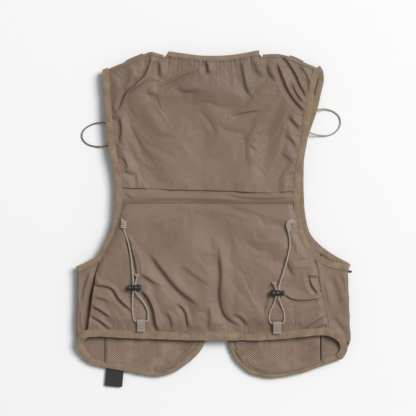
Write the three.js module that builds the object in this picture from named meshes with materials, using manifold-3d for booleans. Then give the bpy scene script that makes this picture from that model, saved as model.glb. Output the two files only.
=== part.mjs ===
// Fishing vest laid flat with its back up. Millimetres, +X to the right, +Y to the collar, +Z up.
// The origin is on the surface the vest rests on, under the middle of its outline.
import * as THREE from 'three';
import { mergeVertices } from 'three/addons/utils/BufferGeometryUtils.js';
import Module from 'manifold-3d';

const wasm = await Module();
wasm.setup();

// ---- Driving sizes ----
const gap = 0.3; // between pieces that touch
const cloth = 2; // a panel with its seam allowance
const liningCloth = 1;

const frontHeight = 7.3; // underside of the front panels
const frontLiningHeight = frontHeight + cloth + gap;
const torsoSpace = 8.1; // between the two linings
const backLiningHeight = frontLiningHeight + liningCloth + torsoSpace;
const backHeight = backLiningHeight + liningCloth + gap;
const pouchDepth = 5.5; // room inside the rear pouch
const pouchHeight = backHeight + pouchDepth;
const pouchTop = pouchHeight + cloth;
const backTop = backHeight + cloth;

const bindingWidth = 12; // round the armholes
const hemBindingWidth = 11;
const neckBindingWidth = 10;
const bindingProud = 0.6; // how far a binding stands past the cloth it wraps

const neckHalfWidth = 85;
const neckTopY = 318;
const neckDip = 12; // how far the back neck edge bows down in the middle
const shoulderEndX = neckHalfWidth + 18; // where the shoulder fold ends beside the neck binding
const shoulderEndY = neckTopY - 6;
const shoulderSeamDrop = 45; // the shoulder turns this far onto the front
const waistY = 50; // narrowest height of the armholes
const underarmY = -90;
const sideHalfWidth = 258;
const sideSeamX = 203; // where the side panel meets the front panel
const backHemY = -222;
const backHemWidth = hemBindingWidth + 2;
const backHemTop = backHemY + backHemWidth;
const hemLowY = -299; // lowest point of the front hem
const hemCornerY = -279;
const frontEdgeFootY = -195; // where the front edges leave the round of the hem
const frontNeckY = neckTopY - 113; // top of the front zip
const frontEdgeTopY = frontNeckY - neckBindingWidth - gap;
const zipX = 10.5; // middle line of the front zip
const zipHalfWidth = 16.5;

const sides = [
  { name: 'left', sign: -1, shoulderX: 209, shoulderY: neckTopY - 37, backWaistX: 184, frontWaistX: 180 },
  { name: 'right', sign: 1, shoulderX: 204, shoulderY: neckTopY - 34, backWaistX: 164, frontWaistX: 172 },
];

const yokeHemY = 56;
const pouchMouthY = 28;
const pouchWall = 2;
const pouchEdgeX = 229;

const pocket = { innerX: 58, width: 172, lowY: -240, depth: 7, wall: 1.6 };
const pocketTopY = underarmY - bindingWidth - 4; // its zip clears the armhole's binding
const chestPocket = { innerX: 52, width: 92, lowY: 40, height: 105 };

const cordRadius = 1.45;
const loopRadius = 1.35;
const cordSides = 8;

const tab = { width: 17, length: 24, eyeRadius: 3.4, holeRadius: 2.2, thickness: 2.4 };
const lock = {
  radius: 5.8,
  bore: 4.4,
  openEnd: 5, // from the cord hole to the button's side
  closedEnd: 13,
  holeHalfWidth: 3.9,
  holeHalfHeight: 2,
  endWall: 1.6,
  plunger: 4.1,
  plungerInner: 6.5,
  stroke: 3,
  headRadius: 4.9,
  headLength: 5,
  springRadius: 3.1,
  springWire: 0.3,
  springTurns: 3,
};

// ---- Colours ----
const material = (color, roughness, metalness = 0) =>
  new THREE.MeshStandardMaterial({ color, roughness, metalness });
const taupe = material(0x84715f, 0.8);
const mesh = material(0x806f60, 0.9);
const binding = material(0x86745a, 0.85);
const webbing = material(0xa2988b, 0.8);
const cordColour = material(0xa69b8c, 0.8);
const black = material(0x1c1c1e, 0.5);
const darkWebbing = material(0x2c2a28, 0.85);
const metal = material(0x55524e, 0.4, 0.8);

// ---- Helpers ----
const at = (x, y) => new THREE.Vector2(x, y);

function solid(geometry) {
  const bare = geometry.clone();
  bare.deleteAttribute('normal');
  bare.deleteAttribute('uv');
  const merged = mergeVertices(bare, 1e-4);
  return new wasm.Manifold(
    new wasm.Mesh({
      numProp: 3,
      vertProperties: merged.attributes.position.array,
      triVerts: new Uint32Array(merged.index.array),
    }),
  );
}

function geometryOf(manifold) {
  const data = manifold.getMesh();
  const geometry = new THREE.BufferGeometry();
  geometry.setAttribute('position', new THREE.BufferAttribute(data.vertProperties, 3));
  geometry.setIndex(new THREE.BufferAttribute(data.triVerts, 1));
  geometry.computeVertexNormals();
  return geometry;
}

// A flat plate with the outline's points, from z low to z high.
function plate(points, low, high) {
  const geometry = new THREE.ExtrudeGeometry(new THREE.Shape(points), {
    depth: high - low,
    bevelEnabled: false,
  });
  return solid(geometry.translate(0, 0, low));
}

function box(low, high) {
  const size = high.map((value, i) => value - low[i]);
  const geometry = new THREE.BoxGeometry(...size);
  return solid(geometry.translate(...low.map((value, i) => value + size[i] / 2)));
}

// The line moved sideways, to the left of its direction when distance is positive.
function beside(points, distance) {
  return points.map((point, i) => {
    const before = points[Math.max(i - 1, 0)];
    const after = points[Math.min(i + 1, points.length - 1)];
    const along = after.clone().sub(before).normalize();
    return at(point.x - along.y * distance, point.y + along.x * distance);
  });
}

const band = (points, width, low, high) =>
  plate([...points, ...beside(points, width).reverse()], low, high);

function tube(points, radius) {
  const curve = new THREE.CatmullRomCurve3(points.map((point) => new THREE.Vector3(...point)));
  const section = new THREE.Shape();
  section.absarc(0, 0, radius, 0, 2 * Math.PI);
  return new THREE.ExtrudeGeometry(section, {
    curveSegments: cordSides,
    steps: Math.round(curve.getLength() / (5 * radius)),
    extrudePath: curve,
  });
}

const cylinderAlongX = (radius, from, to, x, y, z) =>
  solid(
    new THREE.CylinderGeometry(radius, radius, to - from, 20)
      .rotateZ(Math.PI / 2)
      .translate(x + (from + to) / 2, y, z),
  );

const vest = new THREE.Group();

function addNode(name, shape, finish) {
  const geometry = shape.isBufferGeometry ? shape : geometryOf(shape);
  const piece = new THREE.Mesh(geometry, finish);
  piece.name = name;
  vest.add(piece);
}

// ---- Edge lines ----
// From the shoulder corner down to the underarm.
function armholeLine(side, waistX) {
  const x = side.sign;
  return new THREE.Path()
    .moveTo(x * side.shoulderX, side.shoulderY)
    .bezierCurveTo(
      x * (side.shoulderX - 1), side.shoulderY - 91,
      x * (waistX + 2), waistY + 60,
      x * waistX, waistY,
    )
    .bezierCurveTo(
      x * waistX, waistY - 70,
      x * (waistX + 21), underarmY + 16,
      x * sideHalfWidth, underarmY,
    )
    .getPoints(8);
}

// From the side at the back hem, round the front hem to the foot of the front edge.
function frontHemLine(side) {
  const x = side.sign;
  const sideX = x * sideHalfWidth;
  const edgeX = zipX + x * zipHalfWidth;
  const lowX = (sideX + 2.1 * edgeX) / 3.1;
  const cornerX = sideX - x * 43;
  return new THREE.Path()
    .moveTo(sideX, backHemTop)
    .bezierCurveTo(
      sideX, hemCornerY + 29,
      sideX - x * 12, hemCornerY + 7,
      cornerX, hemCornerY,
    )
    .bezierCurveTo(
      cornerX - x * 35, hemCornerY - 8,
      lowX + x * 33, hemLowY,
      lowX, hemLowY,
    )
    .bezierCurveTo(
      lowX - x * 47, hemLowY,
      edgeX + x * 6, frontEdgeFootY - 55,
      edgeX, frontEdgeFootY,
    )
    .getPoints(8);
}

function frontNeckLine(side) {
  const x = side.sign;
  const edgeX = zipX + x * zipHalfWidth;
  return new THREE.Path()
    .moveTo(x * neckHalfWidth, neckTopY)
    .bezierCurveTo(
      x * (neckHalfWidth - 8), neckTopY - 70,
      edgeX + x * 30, frontNeckY + 18,
      edgeX, frontNeckY,
    )
    .getPoints(8);
}

const backNeckLine = new THREE.Path()
  .moveTo(-neckHalfWidth, neckTopY)
  .bezierCurveTo(-0.6 * neckHalfWidth, neckTopY - neckDip, 0.6 * neckHalfWidth, neckTopY - neckDip,
    neckHalfWidth, neckTopY)
  .getPoints(14);

const foldRadius = (backTop - frontHeight) / 2;

// A C-shaped fold, its back leg on top. It runs along X, and its legs point to -Y from the fold at y = 0.
function foldAlongX(from, to, backLeg, frontLeg, top, bottom) {
  const radius = (top - bottom) / 2;
  const profile = new THREE.Shape();
  profile.moveTo(-backLeg, top);
  profile.lineTo(-radius, top);
  profile.absarc(-radius, bottom + radius, radius, Math.PI / 2, -Math.PI / 2, true);
  profile.lineTo(-frontLeg, bottom);
  profile.lineTo(-frontLeg, bottom + cloth);
  profile.lineTo(-radius, bottom + cloth);
  profile.absarc(-radius, bottom + radius, radius - cloth, -Math.PI / 2, Math.PI / 2, false);
  profile.lineTo(-backLeg, top - cloth);
  profile.closePath();
  const geometry = new THREE.ExtrudeGeometry(profile, {
    depth: to - from,
    bevelEnabled: false,
    curveSegments: 5,
  });
  // The profile's x becomes Y and its y becomes Z, so the depth runs along X.
  geometry.applyMatrix4(new THREE.Matrix4().set(0, 0, 1, from, 1, 0, 0, 0, 0, 1, 0, 0, 0, 0, 0, 1));
  return geometry;
}

// ---- Shoulders: a line from the armhole to the neck, where the yoke folds to the front ----
function shoulder(side) {
  const outer = at(side.sign * side.shoulderX, side.shoulderY);
  const inner = at(side.sign * shoulderEndX, shoulderEndY);
  const left = side.sign < 0 ? outer : inner;
  const right = side.sign < 0 ? inner : outer;
  const along = right.clone().sub(left);
  const length = along.length();
  const angle = Math.atan2(along.y, along.x);
  const startGap = side.sign < 0 ? bindingWidth + 3 : gap;
  const endGap = side.sign < 0 ? gap : bindingWidth + 3;
  const down = (distance) => {
    const move = at(Math.sin(angle), -Math.cos(angle)).multiplyScalar(distance);
    return [left.clone().add(move), right.clone().add(move)];
  };
  const fold = foldAlongX(startGap, length - endGap, foldRadius + 12, shoulderSeamDrop, backTop, frontHeight)
    .rotateZ(angle)
    .translate(left.x, left.y, 0);
  return { down, angle, fold: solid(fold) };
}

for (const side of sides) side.shoulder = shoulder(side);
const [left, right] = sides;

// Where a side's panels end at its armhole, with the edge's own clearance.
const insideArmhole = (side, waistX, distance) =>
  beside(armholeLine(side, waistX), -side.sign * distance);

// ---- Back: yoke, mouth facing, pouch panel and lining ----
function backOutline(shoulderDrop, edge) {
  const leftTop = left.shoulder.down(shoulderDrop);
  const rightTop = right.shoulder.down(shoulderDrop);
  const leftEdge = insideArmhole(left, left.backWaistX, edge).filter((p) => p.y < leftTop[0].y - 2);
  const rightEdge = insideArmhole(right, right.backWaistX, edge).filter((p) => p.y < rightTop[1].y - 2);
  const start = leftEdge[0];
  const end = rightEdge[0];
  const neck = beside(backNeckLine, -(neckBindingWidth + gap))
    .filter((p) => Math.abs(p.x) < neckHalfWidth - 3);
  return [
    ...leftEdge.reverse(),
    at(start.x, leftTop[0].y + (start.x - leftTop[0].x) * Math.tan(left.shoulder.angle)),
    leftTop[1],
    ...neck,
    rightTop[0],
    at(end.x, rightTop[1].y + (end.x - rightTop[1].x) * Math.tan(right.shoulder.angle)),
    ...rightEdge,
    at(pouchEdgeX, backHemTop + gap),
    at(-pouchEdgeX, backHemTop + gap),
  ];
}

const backEdge = bindingWidth + gap;
const yokeOutline = backOutline(foldRadius, backEdge);
const wide = 2 * sideHalfWidth;
const hemInnerY = backHemTop + gap;

const yoke = plate(yokeOutline, backHeight, backTop)
  .intersect(box([-wide, yokeHemY, 0], [wide, wide, pouchTop]))
  .add(left.shoulder.fold)
  .add(right.shoulder.fold);
addNode('back_yoke', yoke, taupe);

const mouthFacing = plate(yokeOutline, backHeight, backTop)
  .intersect(box([-wide, pouchMouthY + gap, 0], [wide, yokeHemY - gap, pouchTop]));
addNode('pouch_mouth_facing', mouthFacing, taupe);

const pouchPanel = plate(yokeOutline, backHeight, pouchTop)
  .intersect(box([-wide, -wide, 0], [wide, pouchMouthY, pouchTop]))
  .subtract(box([-wide, hemInnerY + pouchWall, 0], [wide, pouchMouthY - pouchWall, pouchHeight]));
addNode('rear_pouch_panel', pouchPanel, taupe);

const liningSideX = sideSeamX + 2;
const liningOutline = backOutline(foldRadius + 8, backEdge);
const backLining = plate(liningOutline, backLiningHeight, backLiningHeight + liningCloth)
  .subtract(box([-wide, -wide, 0], [-liningSideX + gap, underarmY, pouchTop]))
  .subtract(box([liningSideX - gap, -wide, 0], [wide, underarmY, pouchTop]));
addNode('back_mesh_lining', backLining, mesh);

// ---- Fronts and sides ----
const bindingLow = frontHeight - bindingProud;
const bindingHigh = frontLiningHeight + liningCloth + bindingProud;
const backBindingLow = backLiningHeight;
const backBindingHigh = backTop + bindingProud + gap;
const sideTop = backLiningHeight + liningCloth + gap;

function frontOutline(side) {
  const seam = side.shoulder.down(shoulderSeamDrop + gap);
  const outerTop = side.sign < 0 ? seam[0] : seam[1];
  const innerTop = side.sign < 0 ? seam[1] : seam[0];
  const edge = insideArmhole(side, side.frontWaistX, bindingWidth + gap)
    .filter((p) => p.y < outerTop.y - 2);
  const slope = Math.tan(side.shoulder.angle);
  const hem = beside(frontHemLine(side), -side.sign * (hemBindingWidth + gap));
  const edgeX = zipX + side.sign * (zipHalfWidth + hemBindingWidth + gap);
  // The neck binding's room is cut from the panel later, so this runs along the middle of it.
  const neck = beside(frontNeckLine(side), (side.sign * neckBindingWidth) / 2)
    .filter((p) => p.y < innerTop.y && side.sign * (p.x - edgeX) > 3);
  hem.at(-1).x = edgeX;
  const neckTopX = neck[0].x + (side.sign * neckBindingWidth) / 1.6;
  return [
    at(edge[0].x, outerTop.y + (edge[0].x - outerTop.x) * slope),
    ...edge,
    ...hem,
    at(edgeX, frontEdgeTopY),
    ...neck.reverse(),
    at(neckTopX, innerTop.y + (neckTopX - innerTop.x) * slope),
  ].filter((p, i, all) => i === 0 || p.distanceTo(all[i - 1]) > 0.5);
}

for (const side of sides) {
  const { name, sign } = side;
  const outline = frontOutline(side);
  const inwards = (x) => sign * x;
  const span = (a, b) => [Math.min(inwards(a), inwards(b)), Math.max(inwards(a), inwards(b))];

  const [panelLow, panelHigh] = span(sideSeamX - gap / 2, -wide);
  const panelSpace = box([panelLow, -wide, 0], [panelHigh, wide, pouchTop]);
  const neckRoom = band(frontNeckLine(side), sign * (neckBindingWidth + gap), 0, pouchTop);
  addNode(`front_panel_${name}`,
    plate(outline, frontHeight, frontHeight + cloth).intersect(panelSpace).subtract(neckRoom), taupe);
  addNode(`front_mesh_lining_${name}`,
    plate(outline, frontLiningHeight, frontLiningHeight + liningCloth)
      .intersect(panelSpace)
      .subtract(neckRoom), mesh);

  // The side panel folds round the side, from the back lining to the front panel.
  const sideRadius = (sideTop - frontHeight) / 2;
  const foldLow = hemInnerY + gap;
  const length = underarmY - bindingWidth - gap - foldLow;
  const fold = foldAlongX(0, length, sideHalfWidth - liningSideX, sideRadius + 1, sideTop, frontHeight)
    .rotateZ(sign * -Math.PI / 2)
    .translate(inwards(sideHalfWidth), sign < 0 ? foldLow : foldLow + length, 0);
  const [legLow, legHigh] = span(sideHalfWidth - sideRadius, sideSeamX + gap / 2);
  const leg = plate(outline, frontHeight, frontHeight + cloth)
    .intersect(box([legLow, -wide, 0], [legHigh, underarmY - bindingWidth - gap, pouchTop]));
  addNode(`side_panel_${name}`, solid(fold).add(leg), taupe);
}

// ---- Bindings ----
for (const side of sides) {
  const { name, sign } = side;
  const backLine = armholeLine(side, side.backWaistX);
  const frontLine = armholeLine(side, side.frontWaistX);
  const inside = -sign * bindingWidth;
  const shoulderX = sign * side.shoulderX;
  const sideX = sign * sideHalfWidth;
  const bridge = (x, y, depth) =>
    box([Math.min(x, x - sign * 8), y - depth, bindingLow], [Math.max(x, x - sign * 8), y, backBindingHigh]);
  const ring = band(backLine, inside, backBindingLow, backBindingHigh)
    .add(band(frontLine, inside, bindingLow, bindingHigh))
    .add(bridge(shoulderX, side.shoulderY, 5))
    .add(bridge(sideX, underarmY, bindingWidth - 1));
  addNode(`armhole_binding_${name}`, ring, binding);
}

let neckRing = band(backNeckLine, -neckBindingWidth, backBindingLow, backBindingHigh);
for (const side of sides) {
  const x = side.sign * neckHalfWidth;
  neckRing = neckRing
    .add(band(frontNeckLine(side), side.sign * neckBindingWidth, bindingLow, bindingHigh))
    .add(box([Math.min(x, x + side.sign * 7), neckTopY - 10, bindingLow],
      [Math.max(x, x + side.sign * 7), neckTopY, backBindingHigh]))
    .add(box([x - 6, neckTopY - 10, backBindingLow], [x + 6, neckTopY - 1, backBindingHigh]))
    .add(box([x - 6, neckTopY - 9, bindingLow], [x + 6, neckTopY - 2, bindingHigh]));
}
addNode('neck_binding', neckRing, binding);

let hem = box([-sideHalfWidth, backHemY, backBindingLow], [sideHalfWidth, backHemTop, backBindingHigh]);
for (const side of sides) {
  const x = side.sign * sideHalfWidth;
  hem = hem
    .add(band(frontHemLine(side), -side.sign * hemBindingWidth, bindingLow, bindingHigh))
    .add(box([Math.min(x, x - side.sign * 9), backHemY, bindingLow],
      [Math.max(x, x - side.sign * 9), backHemTop, backBindingHigh]));
}
addNode('hem_binding', hem, binding);

// ---- Front zip ----
const tapeHeight = frontHeight + 0.8;
const teethHalfGap = 0.6;
const teethWidth = 1.2;
const zipFootY = frontEdgeFootY + 2 + gap;
const zipTopY = frontNeckY - 2;
const teethLow = frontHeight;
const teethHigh = teethLow + 2.4;
for (const { name, sign } of sides) {
  const edgeX = zipX + sign * zipHalfWidth;
  const stripes = (from, to, low, high, foot, top) =>
    box([Math.min(edgeX + sign * from, edgeX + sign * to), foot, low],
      [Math.max(edgeX + sign * from, edgeX + sign * to), top, high]);
  const teethOuter = -zipHalfWidth + teethHalfGap + teethWidth;
  addNode(`front_edge_binding_${name}`,
    stripes(0, hemBindingWidth, bindingLow, bindingHigh, zipFootY, frontEdgeTopY), binding);
  addNode(`zip_tape_${name}`,
    stripes(-gap, teethOuter + gap, tapeHeight, tapeHeight + 0.9, zipFootY, zipTopY), taupe);
  addNode(`zip_teeth_${name}`,
    stripes(teethOuter, teethOuter - teethWidth, teethLow, teethHigh, zipFootY + 8, zipTopY), darkWebbing);
}
addNode('zip_bottom_box',
  box([zipX - 4, zipFootY, teethLow], [zipX + 4, zipFootY + 8 - gap, teethHigh])
    .subtract(box([zipX - 8, zipFootY - 1, tapeHeight - gap],
      [zipX - teethHalfGap - teethWidth, zipFootY + 9, tapeHeight + 0.9 + gap]))
    .subtract(box([zipX + teethHalfGap + teethWidth, zipFootY - 1, tapeHeight - gap],
      [zipX + 8, zipFootY + 9, tapeHeight + 0.9 + gap])), metal);

// A pull with an eye round the slider's bar. The bar runs along X and the pull points to -Y.
function zipPull(length, width, eyeRadius, holeRadius) {
  const eye = cylinderAlongX(eyeRadius, -width / 2, width / 2, 0, 0, 0);
  const blade = box([-width / 2, -length, -0.6], [width / 2, 0, 0.6]);
  return eye.add(blade).subtract(cylinderAlongX(holeRadius, -width, width, 0, 0, 0));
}

const frontSlider = { length: 12, width: 10, plate: 1.3, web: 0.6, y: zipTopY - 14, barDrop: 2.1 };
const sliderLow = teethLow - gap - frontSlider.plate;
const sliderHigh = teethHigh + gap;
const sliderSpan = (half, y0, y1, low, high) => box([zipX - half, y0, low], [zipX + half, y1, high]);
const barZ = sliderLow - frontSlider.barDrop;
const sliderY = frontSlider.y;
addNode('front_zip_slider',
  sliderSpan(frontSlider.width / 2, sliderY, sliderY + frontSlider.length, sliderLow, teethLow - gap)
    .add(sliderSpan(frontSlider.width / 2, sliderY, sliderY + frontSlider.length, sliderHigh, sliderHigh + 1))
    .add(sliderSpan(frontSlider.web / 2, sliderY + 7, sliderY + frontSlider.length, sliderLow, sliderHigh + 1))
    .add(box([zipX - 3.6, sliderY + 4.8, barZ - 0.5], [zipX - 2.6, sliderY + 7.2, sliderLow + 0.5]))
    .add(box([zipX + 2.6, sliderY + 4.8, barZ - 0.5], [zipX + 3.6, sliderY + 7.2, sliderLow + 0.5]))
    .add(cylinderAlongX(0.5, -3, 3, zipX, sliderY + 6, barZ)), metal);
addNode('front_zip_pull',
  geometryOf(zipPull(28, 4.4, 1.4, 0.8)).translate(zipX, sliderY + 6, barZ), darkWebbing);

// ---- Front pockets ----
// Open at its top edge, towards +Y.
function tray(x0, x1, y0, y1) {
  const wall = pocket.wall;
  return box([x0, y0, 0], [x1, y1, pocket.depth])
    .subtract(box([x0 + wall, y0 + wall, wall], [x1 - wall, y1 + 1, pocket.depth + 1]));
}

const pocketZip = {
  width: 12,
  tape: 1,
  ridge: 3,
  ridgeDrop: 1.4,
  slider: 11,
  barZ: 1.5,
  inset: 11, // the closed slider from the pocket's outer end
};
for (const { name, sign } of sides) {
  const x0 = Math.min(sign * pocket.innerX, sign * (pocket.innerX + pocket.width));
  const x1 = x0 + pocket.width;
  addNode(`lower_pocket_${name}`, tray(x0, x1, pocket.lowY, pocketTopY), taupe);
  const chestX0 = Math.min(sign * chestPocket.innerX, sign * (chestPocket.innerX + chestPocket.width));
  addNode(`chest_pocket_${name}`,
    tray(chestX0, chestX0 + chestPocket.width, chestPocket.lowY, chestPocket.lowY + chestPocket.height),
    taupe);

  // The zip over the lower pocket's mouth, its slider at the outer end.
  const zipY = pocketTopY + gap + pocketZip.width / 2;
  const tapeLow = frontHeight - gap - pocketZip.tape;
  const ridgeLow = tapeLow - pocketZip.ridgeDrop;
  const half = pocketZip.ridge / 2;
  addNode(`pocket_zip_${name}`,
    box([x0, zipY - pocketZip.width / 2, tapeLow], [x1, zipY + pocketZip.width / 2, tapeLow + pocketZip.tape])
      .add(box([x0 + 2, zipY - half, ridgeLow], [x1 - 2, zipY + half, tapeLow + 0.2])), darkWebbing);
  const sliderX = sign * (pocket.innerX + pocket.width - pocketZip.inset);
  const plateLow = ridgeLow - gap - 1.2;
  const sliderHalf = pocketZip.slider / 2;
  const saddle = box([sliderX - sliderHalf, zipY - 4, plateLow], [sliderX + sliderHalf, zipY + 4, tapeLow - gap])
    .subtract(box([sliderX - sliderHalf - 1, zipY - half - gap, ridgeLow - gap],
      [sliderX + sliderHalf + 1, zipY + half + gap, tapeLow + 1]));
  const ear = (y) =>
    box([sliderX - 1.1, y, pocketZip.barZ - 0.6], [sliderX + 1.1, y + 0.8, plateLow + 0.5]);
  const bar = solid(new THREE.CylinderGeometry(0.4, 0.4, 5.6, 12).translate(sliderX, zipY, pocketZip.barZ));
  addNode(`pocket_zip_slider_${name}`, saddle.add(ear(zipY - 2.9)).add(ear(zipY + 2.1)).add(bar), metal);
  const pullLength = sign > 0 ? sideHalfWidth + 5.5 - sliderX : 36;
  addNode(`pocket_zip_pull_${name}`,
    geometryOf(zipPull(pullLength, 3.4, 1.15, 0.7)).rotateZ(Math.PI / 2)
      .translate(sliderX, zipY, pocketZip.barZ), darkWebbing);
}

// ---- Drawcords on the back: anchor, lock and hem tab on each side ----
const onPouch = pouchTop + gap;
const cordLie = onPouch + cordRadius;
const lockZ = onPouch + lock.radius;
const eyeZ = onPouch + tab.eyeRadius;
const drawcords = [
  {
    name: 'left',
    button: -1,
    lockAt: [-148, -129],
    anchorAt: [-169, -10.5],
    tabAt: [-135.5, -192],
    knotAt: [-142.6, -106.6],
    upper: [[-168, -19.2, 30.6], [-163, -34, cordLie], [-158.5, -48, cordLie], [-155.3, -64, cordLie],
      [-153.4, -80, cordLie], [-152, -96, 29.8], [-150.9, -108, 31.2], [-150, -118, 32.9],
      [-149.8, -128.8, lockZ]],
    loop: [[-149.8, -129.2, lockZ], [-150.1, -138, 32.9], [-151.2, -148, 30.8], [-151.9, -160, 29.5],
      [-151.6, -172, 29.5], [-150.3, -182, 30.2], [-148.4, -189.4, 31], [-144.8, -192, eyeZ],
      [-135.5, -192, eyeZ], [-126.2, -192, eyeZ], [-122.6, -189.4, 31], [-122, -181.5, 30.2],
      [-123, -172, 29.5], [-128, -161, 29.5], [-135, -150.5, 30.6], [-142, -142, 32.3],
      [-145.8, -136, 33.2], [-146.2, -129, lockZ], [-145.8, -121, 33], [-144.4, -114.5, 31.4],
      [-143.2, -110.3, 30.5]],
  },
  {
    name: 'right',
    button: 1,
    lockAt: [121, -139],
    anchorAt: [145, -10],
    tabAt: [120.5, -196],
    knotAt: [115.2, -121.4],
    upper: [[140.6, -20, 30.6], [143.6, -31, cordLie], [145, -43, cordLie], [143.8, -56, cordLie],
      [140.6, -71, cordLie], [137, -86, cordLie], [131.6, -103, 29.8], [127, -117, 31.4],
      [124, -128, 32.9], [122.8, -138.8, lockZ]],
    loop: [[122.8, -139.2, lockZ], [123.4, -147, 33], [127.6, -160, 30], [132.2, -172, 29.5],
      [134.2, -183, 30.2], [133.6, -192.6, 31], [129.8, -196, eyeZ], [120.5, -196, eyeZ],
      [111.2, -196, eyeZ], [106.8, -192.4, 31], [105.8, -183.5, 30.2], [108.2, -173, 29.5],
      [113.4, -161, 29.8], [117.8, -149, 32.4], [119.2, -139, lockZ], [118.8, -131.6, 33],
      [116.8, -126.4, 31.6], [115.8, -124.6, 31]],
  },
];

// Made round the cord hole, with the button to -X.
function lockPieces() {
  const hole = (from, to, depth) =>
    box([from, -depth, -lock.holeHalfHeight], [to, depth, lock.holeHalfHeight]);
  const inner = lock.closedEnd - lock.endWall;
  const housing = cylinderAlongX(lock.radius, -lock.openEnd, lock.closedEnd, 0, 0, 0)
    .subtract(cylinderAlongX(lock.bore, -lock.openEnd - 1, inner, 0, 0, 0))
    .subtract(hole(-lock.holeHalfWidth, lock.holeHalfWidth, 2 * lock.radius));
  const headFrom = -lock.openEnd - lock.stroke - gap - lock.headLength;
  const button = cylinderAlongX(lock.plunger, headFrom + 1, lock.plungerInner, 0, 0, 0)
    .add(cylinderAlongX(lock.headRadius, headFrom, headFrom + lock.headLength, 0, 0, 0))
    .subtract(hole(-lock.holeHalfWidth - lock.stroke - gap, lock.holeHalfWidth, 2 * lock.radius));
  const springFrom = lock.plungerInner + gap + lock.springWire;
  const springTo = inner - gap - lock.springWire;
  const turns = [];
  for (let i = 0; i <= 8 * lock.springTurns; i += 1) {
    const angle = (i * Math.PI) / 4;
    const x = THREE.MathUtils.lerp(springFrom, springTo, i / (8 * lock.springTurns));
    turns.push([x, lock.springRadius * Math.cos(angle), lock.springRadius * Math.sin(angle)]);
  }
  return { housing: geometryOf(housing), button: geometryOf(button), spring: turns };
}

const lockShape = lockPieces();
const springTube = (() => {
  const curve = new THREE.CatmullRomCurve3(lockShape.spring.map((point) => new THREE.Vector3(...point)));
  const section = new THREE.Shape();
  section.absarc(0, 0, lock.springWire, 0, 2 * Math.PI);
  return new THREE.ExtrudeGeometry(section, {
    curveSegments: 6,
    steps: 10 * lock.springTurns,
    extrudePath: curve,
  });
})();

for (const draw of drawcords) {
  const { name } = draw;
  addNode(`drawcord_upper_${name}`, tube(draw.upper, cordRadius), cordColour);
  addNode(`drawcord_loop_${name}`, tube(draw.loop, cordRadius), cordColour);
  const turned = (geometry) => {
    const copy = geometry.clone();
    if (draw.button > 0) copy.rotateZ(Math.PI);
    return copy.translate(draw.lockAt[0], draw.lockAt[1], lockZ);
  };
  addNode(`cord_lock_housing_${name}`, turned(lockShape.housing), black);
  addNode(`cord_lock_button_${name}`, turned(lockShape.button), black);
  addNode(`cord_lock_spring_${name}`, turned(springTube), metal);

  const [tabX, tabY] = draw.tabAt;
  const tabShape = cylinderAlongX(tab.eyeRadius, -tab.width / 2, tab.width / 2, tabX, tabY, eyeZ)
    .add(box([tabX - tab.width / 2, tabY + tab.eyeRadius - tab.length, onPouch],
      [tabX + tab.width / 2, tabY, onPouch + tab.thickness]))
    .subtract(cylinderAlongX(tab.holeRadius, -tab.width, tab.width, tabX, tabY, eyeZ));
  addNode(`hem_cord_tab_${name}`, tabShape, webbing);

  const [knotX, knotY] = draw.knotAt;
  const knot = new THREE.SphereGeometry(3, 10, 8).scale(1.15, 1, 0.95).translate(knotX, knotY, onPouch + 3);
  addNode(`cord_end_knot_${name}`, knot, cordColour);

  const [anchorX, anchorY] = draw.anchorAt;
  const anchor = new THREE.SphereGeometry(1, 14, 10).scale(6, 7.6, 3).translate(anchorX, anchorY, onPouch + 3);
  addNode(`cord_anchor_${name}`, anchor, webbing);
}

// ---- Elastic loops at the front armhole edges ----
const chestLoops = {
  left: [[-200.1, 180.6, 9], [-210, 182.6, 7], [-221, 182.2, 3], [-233, 178, 1.6], [-243.5, 171, 1.6],
    [-249, 161, 1.6], [-247, 150.5, 1.6], [-238, 142, 1.6], [-226, 138.2, 2], [-213, 137.4, 4.6],
    [-193.8, 140, 8.8]],
  right: [[198.6, 207.4, 9], [207, 208.6, 6.6], [217, 208, 3], [229, 203.6, 1.6], [238.5, 195.5, 1.6],
    [242, 184, 1.6], [238.5, 172, 1.6], [229, 162.8, 1.6], [217, 158.4, 2], [204, 158.6, 4.8],
    [190.4, 161.6, 8.8]],
};
for (const name of Object.keys(chestLoops)) {
  addNode(`chest_elastic_loop_${name}`, tube(chestLoops[name], loopRadius), cordColour);
}

// ---- Webbing on the shoulders and the front hem ----
const stripHigh = frontHeight - gap;
for (const { name, middle, angle, width } of [
  { name: 'left', middle: [-139, left.shoulderY + 1], angle: 23, width: 37 },
  { name: 'right', middle: [148, right.shoulderY - 4], angle: -24, width: 30 },
]) {
  const strip = new THREE.BoxGeometry(width, 56, 1.6)
    .rotateZ(THREE.MathUtils.degToRad(angle))
    .translate(middle[0], middle[1], stripHigh - 0.8);
  addNode(`shoulder_webbing_${name}`, strip, taupe);
}
const hemTab = new THREE.BoxGeometry(34, 52, 1.6)
  .rotateZ(THREE.MathUtils.degToRad(-5))
  .translate(-186.5, -292, bindingLow - gap - 0.8);
addNode('hem_webbing_tab', hemTab, darkWebbing);

export default vest;
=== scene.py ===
import math

import bmesh
import bpy
import numpy as np
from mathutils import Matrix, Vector
from mathutils.geometry import delaunay_2d_cdt


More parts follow.
